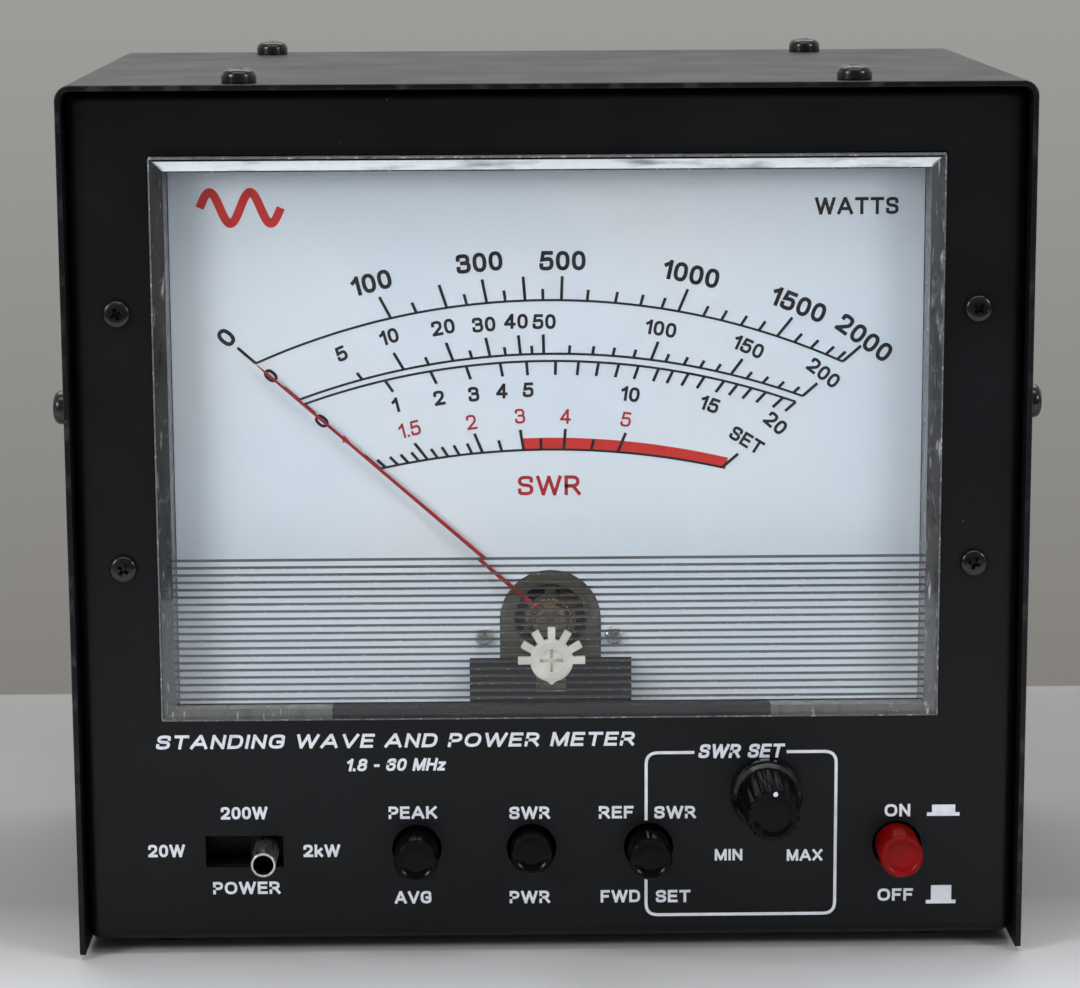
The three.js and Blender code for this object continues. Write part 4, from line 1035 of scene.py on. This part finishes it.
def dial_printing():
    """The scales with their marks and numbers, and the words of the dial."""
    black, red, bright = bmesh.new(), bmesh.new(), bmesh.new()
    for scale in SCALES:
        arc, marks = scale["arc"], scale["marks"]
        angles = list(marks.values())
        ribbon(black, arc.line(angles[0], angles[-1]), ARC_WIDTH, DIAL, raised=INK)
        for value, angle in marks.items():
            length = scale["lengths"][0 if value in scale["long"] else 1]
            ribbon(black, [arc.point(angle), arc.point(angle, length)], TICK_WIDTH, DIAL, raised=2 * INK)
    swr = SCALES[-1]
    start, end = swr["marks"][3], swr["marks"]["SET"]
    ribbon(bright, swr["arc"].line(start, end, RED_BAND / 2), RED_BAND, DIAL)
    for text, x, z, height, turn in BLACK_NUMBERS:
        lettering(black, text, x, z, height, turn=turn, face=DIAL, weight=0.20)
    for text, x, z, height, turn in RED_NUMBERS:
        lettering(red, text, x, z, height, turn=turn, face=DIAL, weight=0.15)
    lettering(black, "WATTS", 61.3, 149.5, 3.4, 16.6, face=DIAL, weight=0.19)
    lettering(red, "SWR", 0.2, 93.7, 4.0, 12.6, face=DIAL, weight=0.17)

    # A plain wave stands at the upper left of the dial.
    left, middle, length, height, steps = -68.6, 149.8, 16.0, 3.1, 60
    wave = []
    for k in range(steps + 1):
        wave.append((left + length * k / steps, middle + height * math.sin(4 * math.pi * k / steps)))
    ribbon(bright, wave, 1.7, DIAL)
    add_piece(black, "dial_black_print", "case", BLACK_INK, merge=1e-5)
    add_piece(red, "dial_red_print", "case", RED_INK, merge=1e-5)
    add_piece(bright, "dial_red_bands", "case", BAND_INK, merge=1e-5)


# ------------------------------------------------------------------ meter
def rib_line(face_back):
    """The back of the window's face in (y, z), from its top to its bottom: a row of prisms. Each one has a
    short ledge that faces up and a long facet that leans back."""
    points = [(face_back, RIB_TOP + RIB_LEDGE)]
    for i in range(RIBS):
        top = RIB_TOP - i * RIB_PITCH
        crest, below = top - RIB_PITCH + RIB_LEDGE, top - RIB_PITCH + RIB_LEDGE * RIB_GLINT
        ledge_end = face_back + RIB_DEPTH * (1 - RIB_GLINT)
        points += [(face_back + RIB_DEPTH, top), (face_back, crest), (ledge_end, below)]
    return points[:-1]


def add_window():
    """The clear face with its ribs, and behind it the four walls of the window, which show as its edges:
    opaque pieces painted with the light and shade seen in the clear walls.
    """
    low, high = WINDOW_LOW, WINDOW_HIGH
    face_back = low.y + WINDOW_FACE
    face = rounded_box(low, (high.x, face_back + RIB_DEPTH + 0.2, high.z), 0.35, 3)
    deep = high.y + 1
    left, right = low.x + WINDOW_SIDE, high.x - WINDOW_SIDE
    floor, ceiling = low.z + WINDOW_WALL, high.z - WINDOW_WALL
    beads = rib_line(face_back)
    outline = [(deep, high.z + 5), (face_back, high.z + 5), *beads, (face_back, low.z - 5), (deep, low.z - 5)]
    behind = prism(bmesh.new(), outline, low.x - 5, high.x + 5, "X")
    hole = rod(2.35, low.y - 1, face_back + 2, PIVOT.x, ADJUSTER_Z)
    margins = []
    for x0, x1 in ((low.x - 5, left), (right, high.x + 5)):
        margins.append(rounded_box((x0, face_back, low.z - 6), (x1, deep, high.z + 6)))
    bm = combine(face, [behind, *margins, hole])
    for f in bm.faces:
        middle = f.calc_center_median()
        rim = min(middle.x - low.x, high.x - middle.x, middle.z - low.z, high.z - middle.z)
        on_rim = rim < 0.3
        in_hole = abs(middle.z - ADJUSTER_Z) < 0.01
        # The rim faces take the grey edge finish, which also stands in for their highlight. The lowest strip
        # of each upward rib ledge takes it as a painted glint, and the rest of the ledge takes the rib shade
        # finish as painted shade.
        if on_rim:
            f.material_index = 1
        elif f.normal.z > 0.3 and middle.y > face_back and not in_hole:
            from_ridge = (middle.z - RIB_TOP) % RIB_PITCH
            f.material_index = 1 if from_ridge < RIB_GLINT * RIB_LEDGE else 2
    add_piece(
        bm, "window_face", "case", [CLEAR_PLASTIC, EDGE_AND_PAINTED_GLINT, RIB_SHADE],
        ["meter_window"], sharp=20,
    )

    front, back = face_back + 0.03, high.y
    top, bottom = high.z, low.z
    # The left wall is painted in shade, the right wall lighter in half shade, and the top wall gets its
    # painted bands.
    walls = [
        ([(low.x, bottom), (low.x, top), (left, ceiling), (left, floor)], 1),
        ([(high.x, bottom), (high.x, top), (right, ceiling), (right, floor)], 2),
        ([(low.x, bottom), (left, floor), (DARK_FROM, floor), (DARK_FROM, bottom)], 3),
        ([(high.x, bottom), (right, floor), (DARK_TO, floor), (DARK_TO, bottom)], 3),
        ([(DARK_FROM, bottom), (DARK_TO, bottom), (DARK_TO, floor), (DARK_FROM, floor)], 4),
    ]
    for high_z, low_z, finish in TOP_BANDS:
        inset, deeper = top - high_z, top - low_z
        band = [
            (low.x + inset, high_z), (high.x - inset, high_z),
            (high.x - deeper, low_z), (low.x + deeper, low_z),
        ]
        walls.append((band, finish))
    bm = bmesh.new()
    for outline, index in walls:
        count = len(bm.faces)
        prism(bm, outline, front, back)
        give_finish(bm, count, index)
    add_piece(
        bm, "window_walls", "case", [WALL_PAINTED_LIGHT, WALL_PAINTED_SHADE, WALL_PAINTED_HALF_SHADE, WALL_FROSTED, WALL_DARK],
        ["meter_window"], merge=1e-6,
    )


def add_needle():
    """A thin blade with a ridge along its front, on a small hub round the shaft."""
    front, back = 10.4, 11.0
    bm = bmesh.new()
    rings = []
    widths = ((1.2, 0.50), (20, 0.38), (60, 0.29), (POINTER_LENGTH - 3, 0.25), (POINTER_LENGTH, 0.08))
    for distance, half in widths:
        section = [(-half, back - 0.15), (0, front), (half, back - 0.15), (half, back), (-half, back)]
        rings.append([bm.verts.new((u, y, distance)) for u, y in section])
    bm.faces.new(rings[0])
    bm.faces.new(reversed(rings[-1]))
    for first, second in zip(rings, rings[1:]):
        add_ring_faces(bm, first, second)
    hub = turned(
        bmesh.new(),
        fillet([(0.85, 10.2), (2.0, 10.2, 0.3), (2.0, 11.2, 0.2), (0.85, 11.2)]),
        segments=32,
    )
    bm = combine(bm, added=[hub])
    bm.transform(Matrix.Translation(PIVOT) @ Matrix.Rotation(math.radians(POINTER_REST), 4, "Y"))
    add_piece(bm, "needle_blade", "needle", POINTER_RED, ["pointer"])


def add_adjuster():
    """White star wheel: seven teeth over its upper half, a pointer below, and a cross slot."""
    body, tip, front, back = (STAR[k] for k in ("body", "tip", "front", "back"))
    dished = rod(STAR["dish"], front - 1, front + 0.4, 0, 0)
    root, half_root, half_tip = body - 0.15, STAR["tooth"] - 0.01, STAR["tooth"] + 0.01
    spread = 180 / (STAR["teeth"] - 1)

    def on_rim(degrees):
        return body * math.sin(math.radians(degrees)), body * math.cos(math.radians(degrees))

    outline = []
    for i in range(STAR["teeth"]):
        degrees = spread * i - 90
        turn = math.radians(degrees)
        for half, radius in ((-half_root, root), (-half_tip, tip), (half_tip, tip), (half_root, root)):
            outline.append(
                (
                    math.sin(turn) * radius + math.cos(turn) * half,
                    math.cos(turn) * radius - math.sin(turn) * half,
                )
            )
        outline.append(on_rim(degrees + spread / 2))
    outline.pop()
    outline += [on_rim(degrees) for degrees in range(102, 168, 9)]
    outline += [(0.9, 0.05 - body), (0.0, -0.7 - body), (-0.9, 0.05 - body)]
    outline += [on_rim(degrees) for degrees in range(195, 261, 9)]
    wheel = soften(prism(bmesh.new(), outline, front + 0.12, back), 0.12)
    dish = [(0, front + 0.55), (1.4, front + 0.5, 0.5), (STAR["dish"], front, 0.4), (3.9, front, 0.3)]
    rim = [(4.1, front + 0.4, 0.1), (4.1, back - 0.2), (0, back - 0.2)]
    cap = turned(bmesh.new(), fillet([*dish, *rim]), segments=40)
    shaft = rod(2.0, back - 0.5, 4.0, 0, 0)
    pin = rod(ZERO_PIN["radius"], ZERO_PIN["front"], ZERO_PIN["back"], 0, -ZERO_PIN["eccentric"], 16)
    slots = [
        rounded_box((-u, front - 1, -v), (u, front + 0.75, v)) for u, v in ((0.30, 2.3), (2.3, 0.30))
    ]
    bm = combine(combine(wheel, [dished], [shaft, pin]), slots, [cap])
    bm.transform(Matrix.Translation((PIVOT.x, 0, ADJUSTER_Z)))
    add_piece(bm, "star_wheel", "zero_adjuster_wheel", WHITE_PLASTIC, ["zero_adjuster"])


# ------------------------------------------------------------------ controls
BUTTONS = {"peak_avg": BLACK_GLOSS, "swr_pwr": BLACK_GLOSS, "ref_fwd": BLACK_GLOSS, "on_off": RED_GLOSS}


def add_buttons():
    """Button caps: a dished face inside a rounded ridge, straight sides and a square stem."""
    for name, finish in BUTTONS.items():
        low, high = span(f"{name}_button")
        middle = (low + high) / 2
        front, radius, back = low.y, (high.x - low.x) / 2, low.y + 11.7
        profile = fillet(
            [
                (0, front + 0.55), (2.2, front + 0.5, 0.6), (radius - 1.25, front + 0.3, 0.35),
                (radius - 0.85, front, 0.25), (radius - 0.45, front, 0.3), (radius, front + 0.6, 0.4),
                (radius, back, 0.2), (0, back),
            ]
        )
        cap = turned(bmesh.new(), profile, middle.x, middle.z, 64)
        stem = rounded_box(
            (middle.x - 1.5, back - 0.5, middle.z - 1.5),
            (middle.x + 1.5, high.y, middle.z + 1.5), 0.2,
        )
        add_piece(combine(cap, added=[stem]), f"{name}_cap", name, finish, [f"{name}_button"])


def add_lever():
    """The slide switch's hollow plated lever on its carriage, with the inside of its bore painted black as
    shade.
    """
    x, z, radius, front, back = (LEVER[k] for k in ("x", "z", "radius", "front", "back"))
    bore, bottom = radius - LEVER["wall"], front + LEVER["bore"]
    profile = fillet(
        [
            (0, bottom), (bore, bottom, 0.3), (bore, front, 0.18), (radius, front, 0.3),
            (radius, back), (0, back),
        ]
    )
    tube = turned(bmesh.new(), profile, x, z, 56)
    carriage = rounded_box((x - 3.6, back - 0.5, z - 2.7), (x + 3.6, back + 2.0, z + 2.7), 0.3)
    bm = combine(tube, added=[carriage])
    # The carriage is black plastic. Deep in the bore, the black finish is painted shade.
    for f in bm.faces:
        middle = f.calc_center_median()
        in_bore = math.hypot(middle.x - x, middle.z - z) < radius - LEVER["wall"] * 0.6
        if middle.y > back - 0.6 or (in_bore and middle.y > front + 0.5):
            f.material_index = 1
    add_piece(
        bm, "lever_tube", "power_slide", [PLATED_STEEL, BLACK_PLASTIC], ["power_lever"]
    )


def add_knob():
    """A fluted knob on a round skirt, with a dished end and a white index dot."""
    x, z = KNOB_PLACE
    skirt, waist, face, front, back = (KNOB[k] for k in ("skirt", "waist", "face", "front", "back"))

    def flute(turn, radius, y):
        if y > -0.9 or radius < face - 0.6:
            return radius
        depth = 0.42 * min(1.0, (-0.9 - y) / 1.2)
        return radius - depth * (0.5 - 0.5 * math.cos(KNOB["flutes"] * turn)) ** 2

    outside = [
        (0, front + 0.5), (3.3, front + 0.42, 0.5), (4.1, front, 0.3), (face - 0.35, front, 0.25),
        (face, front + 0.55, 0.5), (waist - 0.28, -4.0), (waist, -1.0, 0.6), (skirt - 0.35, -0.2, 0.5),
        (skirt, 0.4, 0.5), (skirt, back, 0.25),
    ]
    inside = [(6.2, back, 0.2), (6.2, 0.6, 0.2), (3.3, 0.6), (3.3, front + 2.5), (0, front + 2.5)]
    bm = turned(bmesh.new(), fillet(outside + inside, 6), x, z, 216, flute)
    for f in bm.faces:
        middle = f.calc_center_median()
        if math.hypot(middle.x - x, middle.z - z) > waist:
            f.material_index = 1
    add_piece(
        bm, "knob", "swr_set", [BLACK_GLOSS, SKIRT_GLOSS], ["swr_set_knob"], sharp=40
    )

    turn, away, radius = math.radians(KNOB_DOT["turn"]), KNOB_DOT["from_middle"], KNOB_DOT["radius"]
    top, bottom = front - KNOB_DOT["proud"], front + 0.6
    dot = fillet([(0, top), (radius, top, 0.08), (radius, bottom), (0, bottom)])
    bm = turned(bmesh.new(), dot, x + away * math.sin(turn), z + away * math.cos(turn), 24)
    add_piece(bm, "knob_dot", "swr_set", WHITE_INK)


# ------------------------------------------------------------------ rear fittings
def add_sockets():
    """Coax sockets: a riveted square flange, a threaded barrel with a notched rim, and the insulator."""
    for i in (1, 2):
        low, high = span(f"coax_socket_{i}")
        x, z = (low.x + high.x) / 2, (low.z + high.z) / 2
        flange_front = REAR + 0.3
        flange_back, end = flange_front + 3, high.y
        half = (high.x - low.x) / 2
        plate = rounded_box(
            (x - half, flange_front, z - half), (x + half, flange_back, z + half), 1.2, 4
        )
        crest, root, pitch = 7.9, 7.35, 1.06
        thread = [(0, flange_back - 0.5), (root, flange_back - 0.5), (root, flange_back + 0.8)]
        y = flange_back + 0.8
        while y + pitch < end - 0.8:
            thread += [
                (root, y), (crest, y + pitch * 0.38), (crest, y + pitch * 0.55), (root, y + pitch * 0.93)
            ]
            y += pitch
        thread += [(root, end - 0.7), (root, end - 0.35), (root - 0.35, end), (0, end)]
        barrel = turned(bmesh.new(), thread, x, z, 64)
        spigot = rod(7.4, low.y, flange_front + 1, x, z, 48)
        bore = rod(6.3, end - 8, end + 1, x, z, 56)
        core = rod(5.3, low.y - 1, end - 7, x, z, 48)
        notches = []
        for turn in (45, 135):
            notch = rounded_box((-9, end - 0.9, -0.8), (9, end + 1, 0.8))
            notch.transform(Matrix.Translation((x, 0, z)) @ Matrix.Rotation(math.radians(turn), 4, "Y"))
            notches.append(notch)
        solid = combine(plate, [bore, core, *notches], [barrel, spigot])
        rivets = bmesh.new()
        for u in (-1, 1):
            for v in (-1, 1):
                seat = flange_back - 0.2
                dome = [(0, flange_back + 1.0), (1.3, flange_back + 0.7), (2.0, seat), (0, seat)]
                turned(rivets, fillet([(r, y, 0.5) for r, y in dome]), x + u * 9.1, z + v * 9.1, 24)
        solid = combine(solid, added=[rivets])
        piece = add_piece(solid, f"coax_body_{i}", "case", PLATED_STEEL, [f"coax_socket_{i}"])
        bevel_first(piece, 0.06)

        inner_low, inner_high = span(f"socket_insulator_{i}")
        profile = fillet(
            [(0, inner_low.y), (5.2, inner_low.y, 0.4), (5.2, inner_high.y, 0.4), (2.4, inner_high.y, 0.2),
             (2.4, inner_low.y + 3), (0, inner_low.y + 3)]
        )
        bm = turned(bmesh.new(), profile, x, z, 48)
        count = len(bm.faces)
        sleeve = fillet(
            [(2.35, inner_low.y + 3.1), (2.35, inner_high.y + 0.2, 0.2), (1.9, inner_high.y + 0.2, 0.15),
             (1.9, inner_low.y + 3.1)]
        )
        turned(bm, sleeve, x, z, 40)
        give_finish(bm, count, 1)
        add_piece(
            bm, f"insulator_{i}", "case", [WHITE_PLASTIC, BRASS], [f"socket_insulator_{i}"]
        )


def add_power_jack():
    """Round power jack: a flanged nut, a mouth with a rounded lip, and the centre pin."""
    low, high = span("dc_jack")
    x, z = (low.x + high.x) / 2, (low.z + high.z) / 2
    back = high.y
    body = fillet(
        [(0, low.y), (4.0, low.y, 0.4), (4.0, REAR + 0.1), (5.8, REAR + 0.1, 0.2), (5.8, back, 0.5),
         (3.3, back, 0.3), (2.8, back - 0.6, 0.2), (2.8, low.y + 3), (0, low.y + 3)]
    )
    bm = turned(bmesh.new(), body, x, z, 48)
    count = len(bm.faces)
    pin = fillet([(0, low.y + 3), (1.0, low.y + 3), (1.0, back - 1.5, 0.35), (0, back - 1.5)])
    turned(bm, pin, x, z, 24)
    give_finish(bm, count, 1)
    add_piece(bm, "power_jack", "case", [BLACK_PLASTIC, PLATED_STEEL], ["dc_jack"])


def hexagon(bm, radius, low, high, x, z):
    """Adds a six-sided solid along y."""
    corners = [
        (x + radius * math.cos(math.pi / 3 * k), z + radius * math.sin(math.pi / 3 * k)) for k in range(6)
    ]
    return prism(bm, corners, low, high)


def add_ground_post():
    """Threaded ground stud with a hexagonal nut and a wing nut."""
    low, high = span("ground_post")
    x, z = (low.x + high.x) / 2, (low.z + high.z) / 2
    crest, root, pitch = 2.4, 2.1, 0.8
    thread = [(0, low.y), (root, low.y)]
    y = low.y
    while y + pitch < high.y - 0.5:
        crown, fall = y + pitch * 0.5, y + pitch * 0.9
        thread += [(root, y + 0.05), (crest, y + pitch * 0.4), (crest, crown), (root, fall)]
        y += pitch
    thread += [(root, high.y - 0.4), (root - 0.4, high.y), (0, high.y)]
    stud = turned(bmesh.new(), thread, x, z, 32)
    nut = soften(hexagon(bmesh.new(), 4.6, REAR + 0.1, REAR + 3.6, x, z), 0.25)
    collar = turned(
        bmesh.new(),
        fillet([(0, REAR + 3.7), (4.2, REAR + 3.7, 0.4), (3.4, REAR + 8.4, 0.6), (0, REAR + 8.4)]),
        x, z, 32,
    )
    wings = []
    for side in (-1, 1):
        low_x, high_x = sorted((x + side * 2.4, x + side * 9.0))
        wings.append(
            rounded_box((low_x, REAR + 4.4, z - 1.1), (high_x, REAR + 9.4, z + 1.1), 1.0, 4)
        )
    bm = combine(stud, added=[nut, collar, *wings])
    add_piece(bm, "ground_terminal", "case", BRASS, ["ground_post"])


def rear_legends():
    """Names of the rear fittings, read from behind."""
    bm = bmesh.new()
    names = [
        ("TRANSMITTER", centre_of("coax_socket_2"), 17.0), ("ANTENNA", centre_of("coax_socket_1"), 17.0),
        ("12 V DC", centre_of("dc_jack"), 10.0), ("GROUND", centre_of("ground_post"), 11.0),
    ]
    for text, middle, above in names:
        lettering(bm, text, -middle.x, middle.z + above, 2.6, face=0.0)
    bm.transform(Matrix.Translation((0, REAR, 0)) @ Matrix.Rotation(math.pi, 4, "Z"))
    add_piece(bm, "rear_legends", "case", WHITE_INK, merge=1e-5)


# ------------------------------------------------------------------ CAD nodes that stay
def dress_cad_nodes():
    """Finishes for the CAD nodes that no detailed piece replaces."""
    finishes = {
        "meter_case": BLACK_PLASTIC, "movement_frame": BLACK_PLASTIC, "slide_switch": BLACK_PLASTIC,
        "magnet_yoke": DARK_IRON, "control_body": DARK_IRON, "magnet_core": DARK_IRON,
        "pivot_shaft": PLATED_STEEL, "control_shaft": PLATED_STEEL, "control_nut": PLATED_STEEL,
        "front_bridge": BLACKENED, "zero_arm": BLACKENED, "hairspring": BRASS, "terminal_stud_1": BRASS,
        "terminal_stud_2": BRASS, "moving_coil": COPPER, "dial_plate": DIAL_PAINT,
        "coupler_box": ALUMINIUM, "board_spacer_1": ALUMINIUM, "board_spacer_2": ALUMINIUM,
        "circuit_board": BOARD, "meter_lamp": LAMP_GLASS,
    }
    for name in BUTTONS:
        finishes[f"{name}_switch"] = BLACK_PLASTIC
    thin = ("hairspring", "pivot_shaft", "dial_plate", "moving_coil")
    for node, finish in finishes.items():
        dress(node, finish, 0.0 if node in thin else 0.15)


# ------------------------------------------------------------------ stage
def add_floor():
    """A pale cloth on a table that ends a little way behind the object."""
    bm = bmesh.new()
    front, back, bottom, half_width = -0.42, 0.178, -0.6, 2.0
    rings = []
    outline = [
        (front, bottom), (front, -0.02), (front + 0.02, 0.0), (back - 0.02, 0.0),
        (back - 0.006, -0.0012), (back, -0.008), (back, bottom),
    ]
    for y, z in outline:
        rings.append([bm.verts.new((x, y, z)) for x in (-half_width, half_width)])
    for first, second in zip(rings, rings[1:]):
        bm.faces.new((first[0], first[1], second[1], second[0]))
    mesh = bpy.data.meshes.new("floor")
    bm.to_mesh(mesh)
    bm.free()
    mesh.materials.append(floor_cloth())
    mesh.shade_smooth()
    floor = add_object("floor", mesh)


def add_lamp(name, place, size, power, target=(0.0, 0.0, 0.08)):
    """A soft rectangular lamp, in the frame's metres and watts."""
    data = bpy.data.lights.new(name, "AREA")
    data.shape = "RECTANGLE"
    data.size, data.size_y = size
    data.energy = power
    lamp = add_object(name, data)
    aim = (Vector(target) - Vector(place)).to_track_quat("-Z", "Y").to_matrix().to_4x4()
    lamp.matrix_world = Matrix.Translation(place) @ aim


def add_world():
    """A grey room, lighter upwards, and dimmer in front of the object than behind it."""
    world = bpy.data.worlds.new("room")
    world.use_nodes = True
    nodes, links = world.node_tree.nodes, world.node_tree.links
    back = nodes["Background"]
    coordinates, split = nodes.new("ShaderNodeTexCoord"), nodes.new("ShaderNodeSeparateXYZ")
    upwards = nodes.new("ShaderNodeMapRange")
    ramp = nodes.new("ShaderNodeValToRGB")
    facing = nodes.new("ShaderNodeMapRange")
    for label, low, high in (("From", -1.0, 1.0), ("To", 0.0, 1.0)):
        upwards.inputs[f"{label} Min"].default_value = low
        upwards.inputs[f"{label} Max"].default_value = high
    for label, low, high in (("From", -0.5, 0.5), ("To", 0.30, 1.0)):
        facing.inputs[f"{label} Min"].default_value = low
        facing.inputs[f"{label} Max"].default_value = high
    links.new(coordinates.outputs["Generated"], split.inputs[0])
    links.new(split.outputs["Z"], upwards.inputs["Value"])
    links.new(upwards.outputs[0], ramp.inputs[0])
    links.new(ramp.outputs[0], back.inputs["Color"])
    links.new(split.outputs["Y"], facing.inputs["Value"])
    links.new(facing.outputs[0], back.inputs["Strength"])
    stops = ramp.color_ramp.elements
    stops[0].position, stops[0].color = 0.38, (0.225, 0.215, 0.200, 1.0)
    stops[1].position, stops[1].color = 0.49, (0.345, 0.343, 0.332, 1.0)
    stops.new(0.58).color = (0.74, 0.74, 0.74, 1.0)
    bpy.context.scene.world = world


add_cover()
add_chassis()
add_screws()
add_feet()
panel_legends()
dial_printing()
add_window()
add_needle()
add_adjuster()
add_buttons()
add_lever()
add_knob()
add_sockets()
add_power_jack()
add_ground_post()
rear_legends()
dress_cad_nodes()
add_floor()
add_world()
add_lamp("lamp_left", (-0.78, -0.62, 0.50), (0.25, 0.25), 3.5)
add_lamp("lamp_right", (0.78, -0.62, 0.50), (0.25, 0.25), 2.2)
add_lamp("lamp_front", (0.0, -0.32, 0.80), (0.9, 0.18), 2.1, target=(0.0, -0.26, 0.0))
add_lamp("lamp_top", (0.0, 0.55, 1.1), (1.2, 0.6), 7.0)
